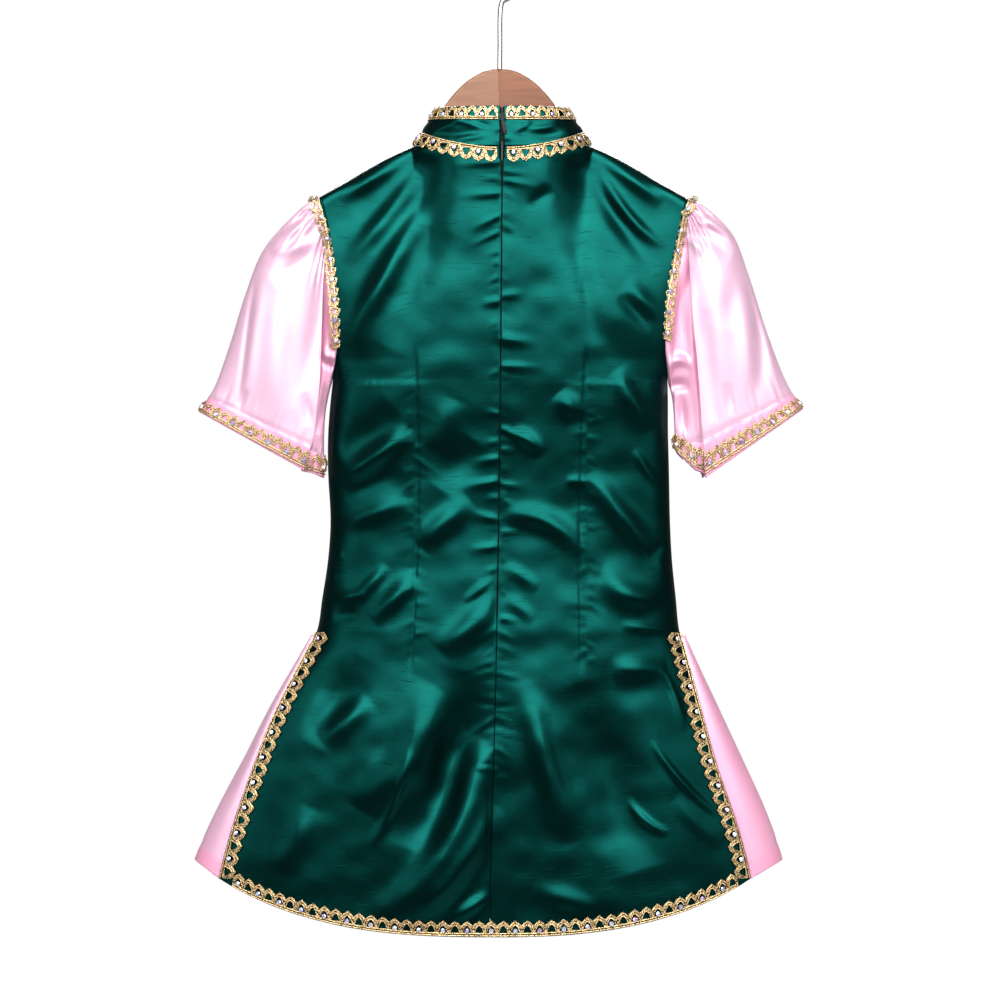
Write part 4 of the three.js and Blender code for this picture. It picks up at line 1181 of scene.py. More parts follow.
    def scallops(self) -> Tree:
        """A scallop of corded lace: dense net round a gap, with arches on it.

        Returns:
            The tree; a scallop is one unit wide and one unit deep.
        """
        tree, given = self.group()
        outline = self.shaped(tree, 12, 0.5, -0.02, 0.62, 1.0)
        gap = self.shaped(tree, 8, 0.37, 0.05, 0.36, 0.64)
        holes = [gap, self.rounded(tree, 6, (0.09, 0.07), (0.0, 0.78)),
                 self.rounded(tree, 5, (0.06, 0.08), (-0.42, 0.3)),
                 self.rounded(tree, 5, (0.06, 0.08), (0.42, 0.3))]
        lines = add_node(tree, "GeometryNodeJoinGeometry")
        for line in [outline, *holes]:
            tree.links.new(line, lines.inputs[0])
        net = add_node(tree, "GeometryNodeFillCurve", {0: lines.outputs[0]},
                       mode="TRIANGLES").outputs[0]
        arches = [
            ((-0.41, 0.04), (0.0, 1.3), (0.41, 0.04)), ((-0.5, 0.36), (0.0, 1.36), (0.5, 0.36)),
            ((-0.52, 0.56), (-0.16, 0.7), (0.0, 1.0)), ((0.52, 0.56), (0.16, 0.7), (0.0, 1.0)),
        ]
        curves = add_node(tree, "GeometryNodeJoinGeometry")
        for start, middle, end in arches:
            arch = add_node(tree, "GeometryNodeCurveQuadraticBezier", {
                "Resolution": 5, "Start": (*start, 0.02), "Middle": (*middle, 0.03),
                "End": (*end, 0.02)}).outputs[0]
            tree.links.new(arch, curves.inputs[0])
        tubes = self.whipped(tree, given, curves.outputs[0], 3)
        both = add_node(tree, "GeometryNodeJoinGeometry", {0: net})
        tree.links.new(tubes, both.inputs[0])
        return self.spread(tree, given, both.outputs[0], True)

    def stones(self) -> Tree:
        """A round rhinestone of radius 1: a bevelled girdle, a crown and a flat table."""
        tree, given = self.group()
        girdle, crown = (add_node(tree, "GeometryNodeMeshCone", {
            "Vertices": 8, "Radius Top": top, "Radius Bottom": foot,
            "Depth": given.outputs[depth]}).outputs[0]
            for top, foot, depth in ((0.92, 1.0, "Girdle"), (0.48, 0.92, "Crown")))
        up = add_node(tree, "ShaderNodeCombineXYZ", {"Z": given.outputs["Girdle"]}).outputs[0]
        raised = add_node(tree, "GeometryNodeTransform", {
            "Geometry": crown, "Translation": up}).outputs[0]
        both = add_node(tree, "GeometryNodeJoinGeometry", {0: girdle})
        tree.links.new(raised, both.inputs[0])
        return self.spread(tree, given, both.outputs[0], False)

    def cords(self) -> Tree:
        """A cord along lines, thick and thin by turns as its whipping."""
        tree, given = self.group()
        line = add_node(tree, "GeometryNodeMeshToCurve", {0: given.outputs["Geometry"]}).outputs[0]
        shaded = add_node(tree, "GeometryNodeSetShadeSmooth", {
            "Geometry": self.whipped(tree, given, line, 5), "Shade Smooth": True})
        return self.ended(tree, given, shaded.outputs[0])

    def pills(self) -> Tree:
        """A small rounded pill of length 1, for stitches and for coil teeth."""
        tree, given = self.group()
        ball = add_node(tree, "GeometryNodeMeshUVSphere", {
            "Segments": 6, "Rings": 4, "Radius": 0.5}).outputs[0]
        wide = add_node(tree, "ShaderNodeCombineXYZ", {
            "X": 1.0, "Y": given.outputs["Thick"], "Z": given.outputs["Thick"]}).outputs[0]
        pill = add_node(tree, "GeometryNodeTransform", {
            "Geometry": ball, "Scale": wide}).outputs[0]
        return self.spread(tree, given, pill, True)


def grown(name: str, tree: Tree, material: Material, spots: Array,
          edges: list[tuple[int, int]], attributes: dict[str, Array]) -> Piece:
    """Runs a geometry tree on points and keeps the result as a plain mesh.

    Args:
        name: the new object's name.
        tree: the geometry tree.
        material: what its faces get.
        spots: points in millimetres.
        edges: edges between the points.
        attributes: values of the points by name, vectors or numbers.

    Returns:
        The new object, with no modifier.
    """
    seed = bpy.data.meshes.new(f"{name}_points")
    seed.from_pydata((spots * MM).tolist(), edges, [])
    for word, values in attributes.items():
        kind = "FLOAT_VECTOR" if values.ndim == 2 else "FLOAT"
        key = "vector" if values.ndim == 2 else "value"
        made = seed.attributes.new(word, kind, "POINT")
        made.data.foreach_set(key, values.astype(np.float32).ravel())
    carrier = linked(f"{name}_carrier", seed)
    grower = carrier.modifiers.new("grower", "NODES")
    grower.node_group = tree
    for item in tree.interface.items_tree:
        if item.in_out == "INPUT" and item.name == "Material":
            grower[item.identifier] = material
    piece = linked(name, worked_out(name, carrier))
    carrier.modifiers.remove(grower)
    bpy.data.objects.remove(carrier)
    return piece


def eulers(x_axis: Array, y_axis: Array, z_axis: Array) -> Array:
    """The Euler angles that turn X, Y and Z onto three sets of unit axes."""
    return np.array([Matrix((x, y, z)).transposed().to_euler()[:]
                     for x, y, z in zip(x_axis, y_axis, z_axis)])


def joined(name: str, pieces: list[Piece]) -> Piece:
    """Joins plain mesh objects into one, with their materials.

    Args:
        name: the joined piece's name.
        pieces: what is joined, into the first.

    Returns:
        The joined piece.
    """
    with bpy.context.temp_override(active_object=pieces[0], selected_editable_objects=pieces,
                                   object=pieces[0], selected_objects=pieces):
        bpy.ops.object.join()
    pieces[0].name = name
    pieces[0].data.name = name
    return pieces[0]


# Lace.


@dataclass
class Lace:
    """Scalloped gold edging, 12 mm wide, with rhinestones in every other gap."""

    finishes: Finishes
    width: float = 12.0
    band: float = 3.0
    cord_radius: float = 0.62
    lift: float = 0.9
    stone_radius: float = 2.0
    stone_every: int = 2

    def __post_init__(self) -> None:
        """Builds the geometry trees."""
        self.scallop_tree = Repeat("lace_scallops", {"Cord": 0.05, "Bead": 0.5}).scallops()
        self.cord_tree = Repeat("lace_cords", {"Cord": self.cord_radius * MM, "Bead": 0.22}).cords()
        self.stone_tree = Repeat("rhinestones", {"Girdle": 0.3, "Crown": 0.36}).stones()

    def strip(self, node: str, length: float, pitch: float, place: Place,
              looped: bool = False) -> None:
        """Makes a strip of lace and its stones.

        Args:
            node: the CAD node that the strip replaces.
            length: the strip's length.
            pitch: the wanted width of a scallop.
            place: gives points for lengths along, distances across and heights off the cloth.
            looped: True where the strip closes on itself.
        """
        count = max(2, 2 * round(length / (2 * pitch)))
        wide = length / count
        at = (np.arange(count) + 0.5) * wide
        base = place(at, np.full(count, self.band - 0.5), np.full(count, self.lift))
        tip = place(at, np.full(count, self.width), np.full(count, self.lift))
        mid = np.full(count, (self.band + self.width) / 2)
        high = np.full(count, self.lift)
        before = place(at - wide / 2, mid, high)
        after = place(at + wide / 2, mid, high)
        up = unit(place(at, mid, high + 1.0) - place(at, mid, high))
        y_axis = unit(tip - base)
        x_axis = unit(np.cross(y_axis, up))
        z_axis = np.cross(x_axis, y_axis)
        depth = np.linalg.norm(tip - base, axis=1) * 1.04
        spread = np.linalg.norm(after - before, axis=1)
        sizes = np.stack([spread, depth, depth], axis=1) * MM
        turns = eulers(x_axis, y_axis, z_axis)
        parts = [grown(f"{node}_scallops", self.scallop_tree, self.finishes.gold, base, [],
                       {"turn": turns, "size": sizes})]
        parts.append(self.cords(node, length, place, looped))
        piece = joined(node.replace("lace_", "gold_lace_"), parts)
        dress(piece, self.finishes.gold, [node])
        chosen = np.arange(0, count, self.stone_every)
        set_at = at[chosen]
        ones = np.ones(len(chosen))
        seat = place(set_at, ones * (self.band + 1.5), ones * (self.lift + 0.5))
        draw = np.random.default_rng(len(node) * 7 + count)
        sizes = np.full((len(chosen), 3), self.stone_radius * MM)
        spins = draw.uniform(0, 2 * math.pi, len(chosen))
        z_up = z_axis[chosen]
        x_spun = x_axis[chosen] * np.cos(spins)[:, None] + y_axis[chosen] * np.sin(spins)[:, None]
        turns = eulers(x_spun, np.cross(z_up, x_spun), z_up)
        gems = grown(node.replace("lace_", "stones_"), self.stone_tree, self.finishes.stone, seat,
                     [], {"turn": turns, "size": sizes, "tint": draw.uniform(0, 1, len(chosen))})
        dress(gems, self.finishes.stone, [])

    def cords(self, node: str, length: float, place: Place, looped: bool) -> Piece:
        """The two cords along a strip's base.

        Args:
            node: the CAD node of the strip.
            length: the strip's length.
            place: gives points, as for the strip.
            looped: True where it closes on itself.

        Returns:
            The cords.
        """
        steps = int(length / 1.3)
        at = np.linspace(0.0, length, steps + 1)
        if looped:
            at = at[:-1]
        ones = np.ones(len(at))
        lines, edges = [], []
        for across in (self.cord_radius, self.band - 0.7):
            start = sum(len(line) for line in lines)
            lines.append(place(at, ones * across, ones * (self.lift - 0.1)))
            edges += [(start + i, start + i + 1) for i in range(len(at) - 1)]
            if looped:
                edges.append((start + len(at) - 1, start))
        return grown(f"{node}_cords", self.cord_tree, self.finishes.gold,
                     np.concatenate(lines), edges, {})


# The body's cloth.


@dataclass
class Body:
    """The green panels of the dress, cut and hung."""

    form: BodyForm
    finishes: Finishes
    zip_half: float = 1.3
    zip_low: float = 0.3
    zip_foot: float = -540.0
    columns: int = 104
    front_columns: int = 150
    rows: int = 290
    front_rows: int = 230
    roll: float = 0.9
    seam_roll: float = 0.4
    cut_share: float = 0.72

    def even(self, side: Side, low: float, high: float, count: int) -> Array:
        """Places across a panel at even distances along the cloth at the waist.

        Args:
            side: back or front.
            low: the first place.
            high: the last place.
            count: how many there are.

        Returns:
            The places, from -1 to 1.
        """
        fine = np.linspace(low, high, 600)
        line = self.form.point(side, fine, np.full_like(fine, -450.0), creased=False)
        gaps = np.linalg.norm(np.diff(line, axis=0), axis=1) + 0.15
        lengths = np.concatenate([[0.0], np.cumsum(gaps)])
        return np.interp(np.linspace(0, lengths[-1], count), lengths, fine)

    def grid(self, side: Side, us: Array, rows: int) -> tuple[Array, Array]:
        """The points and normals of a panel.

        Args:
            side: back or front.
            us: places across.
            rows: how many rows from the top edge to the hem.

        Returns:
            Points and outward normals, of shape (columns, rows, 3).
        """
        near_top = np.array([0.0, 0.0006, 0.0018, 0.0036, 0.006, 0.009, 0.0125])
        vs = np.concatenate([near_top, np.linspace(0.016, 1.0, rows - len(near_top))])
        u, v = np.meshgrid(us, vs, indexing="ij")
        z = lerp(self.form.top(side, u), self.form.hem(u), v)
        grid = self.form.point(side, u, z)
        if side is Side.BACK:
            centre = np.abs(u) < 1e-6
            hand = 1.0 if us.mean() > 0 else -1.0
            along_zip = lerp(self.zip_low, self.zip_half, smooth((z + 205.0) / 45.0))
            gap = np.where(z > self.zip_foot, along_zip, SEAM / 2)
            grid[..., 0] += np.where(centre, hand * gap, 0.0)
        across, down = np.gradient(grid, axis=0), np.gradient(grid, axis=1)
        normals = unit(np.cross(across, down)) * side.value
        return grid, normals

    def build(self) -> None:
        """Makes the two backs and the front."""
        sides = [Edge.FIRST_COLUMN, Edge.LAST_COLUMN]
        for hand, low in ((Hand.LEFT, -1.0), (Hand.RIGHT, 0.0)):
            us = self.even(Side.BACK, low, low + 1.0, self.columns)
            self.panel(f"back_{hand.word}", Side.BACK, us, self.rows, sides[::hand.value])
        us = self.even(Side.FRONT, -1.0, 1.0, self.front_columns)
        self.panel("front", Side.FRONT, us, self.front_rows, sides)

    def panel(self, node: str, side: Side, us: Array, rows: int, sides: list[Edge]) -> None:
        """Makes one panel.

        Args:
            node: the CAD node that it replaces.
            side: back or front.
            us: places across.
            rows: how many rows it has.
            sides: its two upright edges; on a back the first is at the centre.
        """
        grid, normals = self.grid(side, us, rows)
        grid = rolled(grid, normals, sides[:1], self.seam_roll if side is Side.BACK else self.roll)
        pad = {Edge.FIRST_COLUMN: (3, 0), Edge.LAST_COLUMN: (0, 3)}[sides[0]]
        normals = np.pad(normals, (pad, (0, 0), (0, 0)), mode="edge")
        grid = rolled(grid, normals, [sides[1], Edge.LAST_ROW], self.roll)
        grid[..., 1] = side.value * np.maximum(side.value * grid[..., 1], SEAM / 2)
        piece = grid_mesh(f"satin_{node}", grid, side.value)
        solidify(piece, CLOTH)
        dress(piece, self.finishes.green, [node])


@dataclass
class Collar:
    """The stand collar, open at the centre back."""

    form: BodyForm
    finishes: Finishes
    top_half: float = 53.2
    top_depth: float = 30.0
    height_back: float = 33.0
    height_side: float = 29.5
    centre: float = 1.6
    opening: float = 1.3
    columns: int = 220
    rows: int = 26

    def surface(self, angle: Array, height: Array) -> Array:
        """Points of the collar's outer face, by the angle round the neck and the height's share.

        Args:
            angle: angles from the centre back.
            height: shares from foot to top.

        Returns:
            Points in millimetres.
        """
        angle, height = np.broadcast_arrays(angle, height)
        sine, cosine = np.sin(angle), np.cos(angle)
        foot = self.form.below_neck(angle, creased=False) + np.array([0.0, 0.0, SEAM])
        rise = lerp(self.height_side, self.height_back, cosine**2)
        x, y = self.centre + self.top_half * sine, -self.top_depth * cosine
        top = points(x, y, foot[..., 2] + rise)
        return lerp(foot, top, np.clip(height, 0.0, 1.0)[..., None])

    def creases(self) -> list[Crease]:
        """The collar's creases, by the distance round from the centre back and the height."""
        rows = [
            (-60, 13, -30, 21, 3.0, 1.3, -2), (-46, 23, -10, 14, 2.5, 1.5, 1),
            (-54, 8, -14, 11, 3.5, -1.3), (-32, 5, -8, 9, 2.5, 1.0),
            (-22, 20, -6, 16, 1.8, -1.0), (8, 11, 22, 21, 2.2, 1.4),
            (14, 14, 46, 19, 2.5, 1.3, -2), (18, 8, 52, 9, 3.8, -1.3),
            (30, 4, 60, 14, 3.0, 1.1), (70, 8, 100, 18, 4.0, 1.2, 2),
            (-104, 9, -72, 16, 4.0, 1.2, 2), (110, 16, 140, 8, 4.0, -1.1),
            (-150, 8, -116, 18, 4.0, 1.1), (120, 6, 160, 17, 4.0, 1.2),
        ]
        made = [Crease(*row) for row in rows]
        made += puckers(41, 26, 4, 4.5, -1.5, -1, (5, 12), 1.0)
        return made + puckers(42, 26, 4, 4.5, 1.5, 1, (5, 12), 1.0)

    def build(self) -> None:
        """Makes the collar with its creases and turned edges."""
        start = math.asin(self.opening / self.top_half)
        angles = np.linspace(start, 2 * math.pi - start, self.columns)
        heights = np.linspace(0.0, 1.0, self.rows)
        a, h = np.meshgrid(angles, heights, indexing="ij")
        grid = self.surface(a, h)
        normals = normals_of(self.surface, a, np.clip(h, 0.03, 0.97), 1, (0.01, 0.02))
        x = self.top_half * (np.mod(a + math.pi, 2 * math.pi) - math.pi)
        z = self.height_back * h
        wave = sum(crease.lift(x, z) for crease in self.creases())
        wave = wave + 0.3 * np.sin(a * 9.0 + 0.6) * np.sin(h * math.pi)
        grid = grid + normals * (wave * smooth(h / 0.15) * smooth((1.0 - h) / 0.1))[..., None]
        grid = rolled(grid, normals, [Edge.FIRST_COLUMN, Edge.LAST_COLUMN, Edge.LAST_ROW], 0.8)
        piece = grid_mesh("satin_collar", grid, 1)
        solidify(piece, CLOTH)
        dress(piece, self.finishes.green, ["collar"])


@dataclass
class Inserts:
    """The flared pink pieces in the side slits."""

    form: BodyForm
    finishes: Finishes
    flare: Table = field(default_factory=lambda: Table("z left right", [
        (-550, 3, 3), (-570, 3, 5.5), (-614, 4, 13), (-660, 7.5, 20), (-707, 14.3, 23.5),
        (-749, 20.8, 26.5)]))
    top_share: float = 0.645
    hem_from: float = 0.972
    # How far each insert is painted towards the deeper pink, as shade: the right one darker.
    tones: dict[Hand, float] = field(default_factory=lambda: {Hand.LEFT: 0.2, Hand.RIGHT: 0.75})
    hem_rise: float = 14.0

    def build(self) -> None:
        """Makes both inserts."""
        form = self.form
        for hand in Hand:
            sign, word = hand.value, hand.word
            turns = np.linspace(-1.0, 1.0, 60)
            shares = np.linspace(self.top_share, 1.0, 90)
            turn, v = np.meshgrid(turns, shares, indexing="ij")
            u = np.full_like(turn, sign)
            z = lerp(form.top(Side.FRONT, u), form.hem(u), v)
            back = form.point(Side.BACK, u, z, creased=False)
            edge_y = np.abs(back[..., 1])
            out = np.cos(turn * math.pi / 2)
            drop = np.clip((form.slit[0] - z) / (form.slit[0] - form.hem(u)), 0.0, 1.0)
            groove = 0.5 * np.exp(-(((v - self.hem_from) / 0.008) ** 2))
            wave = 1.1 * np.sin(turn * 6.0 + v * 9.0) * drop - groove
            x = back[..., 0] + sign * (SEAM + self.flare.read(word, z) * out + wave * out)
            grid = points(x, edge_y * np.sin(turn * math.pi / 2), z + self.hem_rise * drop * out)
            normals = unit(np.cross(np.gradient(grid, axis=0), np.gradient(grid, axis=1))) * -sign
            grid = rolled(grid, normals, [Edge.LAST_ROW], 0.8)
            piece = grid_mesh(f"pink_insert_{word}", grid, -sign)
            # Painted shade: each insert is tinted deeper pink, the right more than the left; the
            # doubled hem turns to the full deeper tone.
            tone = np.full(grid.shape[:2], self.tones[hand], np.float32)
            tone[:, :v.shape[1]] = lerp(self.tones[hand], 1.0, smooth((v - self.hem_from) / 0.01))
            paint_band(piece, tone)
            solidify(piece, CLOTH)
            dress(piece, self.finishes.pink, [f"insert_{word}"])


@dataclass
class Sleeve:
    """A short puffed sleeve, gathered into the armhole."""

    form: BodyForm
    finishes: Finishes
    hand: Hand
    rows_table: Table
    crease_at: float = 0.66
    gathers: float = 5.5
    gather_height: float = 1.3
    band_at: float = 0.875
    # How far the fold under the arm is painted towards the deeper pink, as shade.
    fold_tone: float = 0.6
    tuck: float = 0.62
    undercut: float = 4.0
    crease_by: float = 1.25
    columns: int = 260
    rows: int = 120

    def __post_init__(self) -> None:
        """Lists the creases; the front has the other sleeve's, mirrored."""
        own, other = sleeve_creases(self.hand), sleeve_creases(Hand(-self.hand.value))
        mirrored = [replace(c, from_x=-c.from_x, to_x=-c.to_x, bow=-c.bow) for c in other]
        self.creases = {Side.BACK: own, Side.FRONT: mirrored}

    def surface(self, t: Array, s: Array, creased: bool = True) -> Array:
        """Points of the sleeve's outer face.

        Args:
            t: 0 on the outer fold, to 1 round the front and -1 round the back.
            s: from the armhole, 0, to the cuff, 1.
            creased: False for the calm form.

        Returns:
            Points in millimetres.
        """
        t, s = np.broadcast_arrays(t, np.clip(s, 0.0, 1.0))
        sign = self.hand.value
        turned = np.mod(t + 1.0, 2.0) - 1.0
        side = np.where(turned < 0, -1.0, 1.0)
        around = np.abs(turned)
        read = self.rows_table.read
        fold = np.minimum(1.0, around / self.crease_at)
        under = np.maximum(0.0, (around - self.crease_at) / (1.0 - self.crease_at))
        low = under > 0

        def between(out: str, crease: str, arm: str, where: Array) -> Array:
            """Reads three lines of the table and goes round between them."""
            outer = lerp(read(out, where), read(crease, where), fold)
            inner = lerp(read(crease, where), read(arm, where), under)
            return np.where(low, inner, outer)

        around_arm = np.sqrt(1.0 - (1.0 - fold) ** 2) * np.sqrt(1.0 - under**1.6)
        if creased:
            around_arm = around_arm * (1.0 - self.tuck * smooth(under / 0.12) * smooth(s / 0.25))
        bulge = np.sin(np.pi * fold)
        deep, full = read("deep", s), read("full", s)
        x = between("outX", "foldX", "armX", s)
        z = between("outZ", "foldZ", "armZ", s)
        y = deep * around_arm + (full - deep) * bulge
        zero = np.zeros_like(s)
        first_x = between("outX", "foldX", "armX", zero)
        first_deep, first_full = read("deep", zero), read("full", zero)
        first_y = first_deep * around_arm + (first_full - first_deep) * bulge
        u = np.full_like(s, sign)
        top_back, top_front = self.form.top(Side.BACK, u), self.form.top(Side.FRONT, u)
        seam_top = np.where(side < 0, top_back, top_front)
        first_fold, first_arm = read("foldZ", zero), read("armZ", zero)
        seam_z = np.where(low, lerp(first_fold, first_arm, under), lerp(seam_top, first_fold, fold))
        back = self.form.point(Side.BACK, u, seam_z, creased=False)
        front = self.form.point(Side.FRONT, u, seam_z, creased=False)
        seam = np.where((side < 0)[..., None], back, front)
        held = (1.0 - s) ** 3
        px = sign * x + (seam[..., 0] + sign * 2 * SEAM - sign * first_x) * held
        py = side * y + (seam[..., 1] - side * first_y) * held
        pz = z + (seam_top - read("outZ", zero)) * (1.0 - fold) * held
        if creased:
            shift = self.undercut * np.sin(np.pi * np.minimum(under / 0.3, 1.0)) * smooth(s / 0.2)
            px = px + sign * shift
            py = py + side * self.relief(turned, fold, under, s)
            for face in Side:
                lifts = sum(crease.lift(px, pz) for crease in self.creases[face])
                high = self.crease_by * lifts
                held_edge = smooth(fold / 0.12) * smooth(s / 0.04)
                py = py + np.where(side == face.value, side * high * held_edge, 0.0)
        return points(px, py, pz)

    def relief(self, turned: Array, fold: Array, under: Array, s: Array) -> Array:
        """How far gathers, creases and the puckered hem stand out.

        Args:
            turned: the place round, as t.
            fold: the share up to the crease.
            under: the share beyond it.
            s: the share from armhole to cuff.

        Returns:
            Heights in millimetres.
        """
        cap = np.where(under > 0, 0.0, np.sin(np.pi * np.clip(fold, 0, 1)) ** 0.5)
        fade = np.exp(-(((s - 0.11) / 0.12) ** 2)) * smooth(s / 0.07)
        phase = self.gathers * fold * (1 + 0.14 * np.sin(fold * 9 + self.hand.value + turned))
        high = self.gather_height * fade * cap * np.sin(2 * np.pi * phase)
        groove = np.exp(-(((s - self.band_at) / 0.012) ** 2))
        uneven = 0.55 + 0.45 * np.sin(turned * 41.0)
        crinkle = np.sin(turned * 118.0 + 3 * np.sin(turned * 17.0)) * uneven
        near_hem = np.exp(-(((s - self.band_at + 0.035) / 0.05) ** 2))
        ripple = np.sin(turned * 60.0 + s * 40.0 + 2 * np.sin(turned * 23.0))
        in_band = ripple * smooth((s - self.band_at) / 0.02)
        return high - 0.7 * groove + 0.5 * crinkle * near_hem + 0.22 * in_band

    def length(self, t: Array) -> Array:
        """The length of the sleeve from armhole to cuff.

        Args:
            t: places round.

        Returns:
            Lengths in millimetres.
        """
        steps = np.linspace(0.0, 1.0, 11)
        line = self.surface(t[..., None], steps[None, :], creased=False)
        return np.linalg.norm(np.diff(line, axis=-2), axis=-1).sum(axis=-1)

    def build(self) -> None:
        """Makes the sleeve."""
        sign = self.hand.value
        ts = np.linspace(-1.0, 1.0, self.columns + 1)[:-1]
        ss = np.linspace(0.0, 1.0, self.rows)
        t, s = np.meshgrid(ts, ss, indexing="ij")
        grid = self.surface(t, s)
        ahead, behind = np.roll(grid, -1, axis=0), np.roll(grid, 1, axis=0)
        normals = unit(np.cross(ahead - behind, np.gradient(grid, axis=1))) * -sign
        grid = rolled(grid, normals, [Edge.LAST_ROW], 0.9)
        piece = grid_mesh(f"pink_sleeve_{self.hand.word}", grid, -sign, looped=True)
        # Deeper pink: the doubled hem's own tone, and painted shade in the fold under the arm.
        in_band = np.ones(grid.shape[:2], np.float32)
        under = np.clip((np.abs(t) - self.crease_at) / (1.0 - self.crease_at), 0.0, 1.0)
        painted_fold_shade = self.fold_tone * smooth(under / 0.08) * smooth((0.97 - s) / 0.3)
        in_band[:, :len(ss)] = np.maximum(smooth((s - self.band_at) / 0.008), painted_fold_shade)
        paint_band(piece, in_band)
        solidify(piece, CLOTH)
        dress(piece, self.finishes.pink, [f"sleeve_{self.hand.word}"])


def sleeve_creases(hand: Hand) -> list[Crease]:
    """The creases on the back of a sleeve, as the photo shows them.

    Args:
        hand: left or right.

    Returns:
        The creases, in millimetres of the frame.
    """
    left = [
        # The puff at the cap.
        (-146, -223, -186, -244, 6, 3.0, -6), (-144, -230, -185, -245, 5, 2.6, 5),
        (-146, -214, -190, -243, 4.5, -2.2, -6), (-145, -238, -184, -268, 8, -4.2, 4),
        (-150, -203, -166, -222, 3.5, -1.6), (-148, -208, -176, -214, 4, 1.6, -3),
        # Down the sleeve.
        (-197, -258, -211, -372, 2.6, -1.7), (-191, -262, -205, -374, 5, 1.9),
        (-142, -238, -160, -362, 8, -3.2, 5), (-138, -252, -149, -388, 3.6, 2.4, 3),
        (-180, -280, -182, -384, 13, 2.6), (-172, -300, -166, -372, 6, -1.4),
        (-203, -356, -211, -374, 3, -1.4), (-157, -358, -152, -386, 3.5, -1.5),
        (-226, -352, -231, -366, 3, 1.2),
        # Under the arm.
        (-131, -331, -143, -322, 3, 2.8, 3), (-130, -338, -144, -334, 3, -3.0),
        (-136, -346, -141, -386, 3, 2.2, 3), (-140, -350, -146, -392, 3, -2.0),
    ]
    right = [
        (154, -219, 188, -236, 5, 2.8, 4), (155, -224, 186, -240, 3, -2.0, 4),
        (151, -230, 186, -249, 8, -4.4, 4), (148, -234, 162, -249, 3.6, 2.8, 3),
        (152, -206, 176, -212, 4, 1.8, 3), (153, -212, 184, -226, 4, -1.6, 4),
        (188, -266, 183, -308, 9, -1.6), (198, -254, 208, -362, 6, -3.0, 6),
        (191, -262, 197, -370, 7, 2.0, 4), (215, -300, 226, -360, 6, 1.6),
        (172, -262, 172, -376, 11, 2.2), (154, -262, 163, -396, 3.4, 2.2, -3),
        (164, -290, 172, -384, 7, -2.2), (182, -350, 186, -378, 4, -1.2),
        (133, -341, 156, -337, 4, 4.6, 7), (134, -353, 153, -351, 4.5, -4.6),
        (137, -360, 141, -398, 2.8, 2.2), (146, -358, 149, -392, 3.6, -2.8),
        (139, -262, 146, -320, 5, -1.8),
    ]
    rows = left if hand is Hand.LEFT else right
    return [Crease(*row) for row in rows]


def sleeve_tables() -> dict[Hand, Table]:
    """The lines of both sleeves, from armhole to cuff."""
    names = "s outX outZ foldX foldZ armX armZ deep full"
    left = [
        (0.0, 146.2, -200, 139.8, -233, 136.4, -351, 16, 17),
        (0.1, 160.0, -208, 141.2, -250, 138.2, -358, 18, 22),
        (0.28, 190.4, -241, 142.8, -285, 140.6, -370, 21, 29),
        (0.45, 205.6, -277, 143.6, -320, 142.0, -383, 23, 31),
        (0.62, 218.0, -317, 144.6, -355, 142.4, -397, 24, 30),
        (0.81, 231.0, -353, 148.4, -390, 142.2, -412, 24, 27),
        (1.0, 244.4, -373, 157.4, -421, 142.0, -427, 22, 24),
    ]
    right = [
        (0.0, 152.6, -200, 149.0, -214, 136.4, -351, 10, 12),
        (0.1, 164.0, -205, 150.4, -230, 138.0, -356, 15, 19),
        (0.28, 188.0, -229, 151.8, -256, 139.6, -365, 20, 28),
        (0.45, 201.0, -262, 153.4, -290, 140.6, -377, 23, 31),
        (0.62, 216.0, -309, 157.6, -330, 141.0, -387, 24, 30),
        (0.81, 232.0, -350, 161.4, -380, 141.4, -397, 24, 27),
        (1.0, 245.6, -371, 164.6, -427, 142.4, -406, 22, 24),
    ]
    return {Hand.LEFT: Table(names, left), Hand.RIGHT: Table(names, right)}


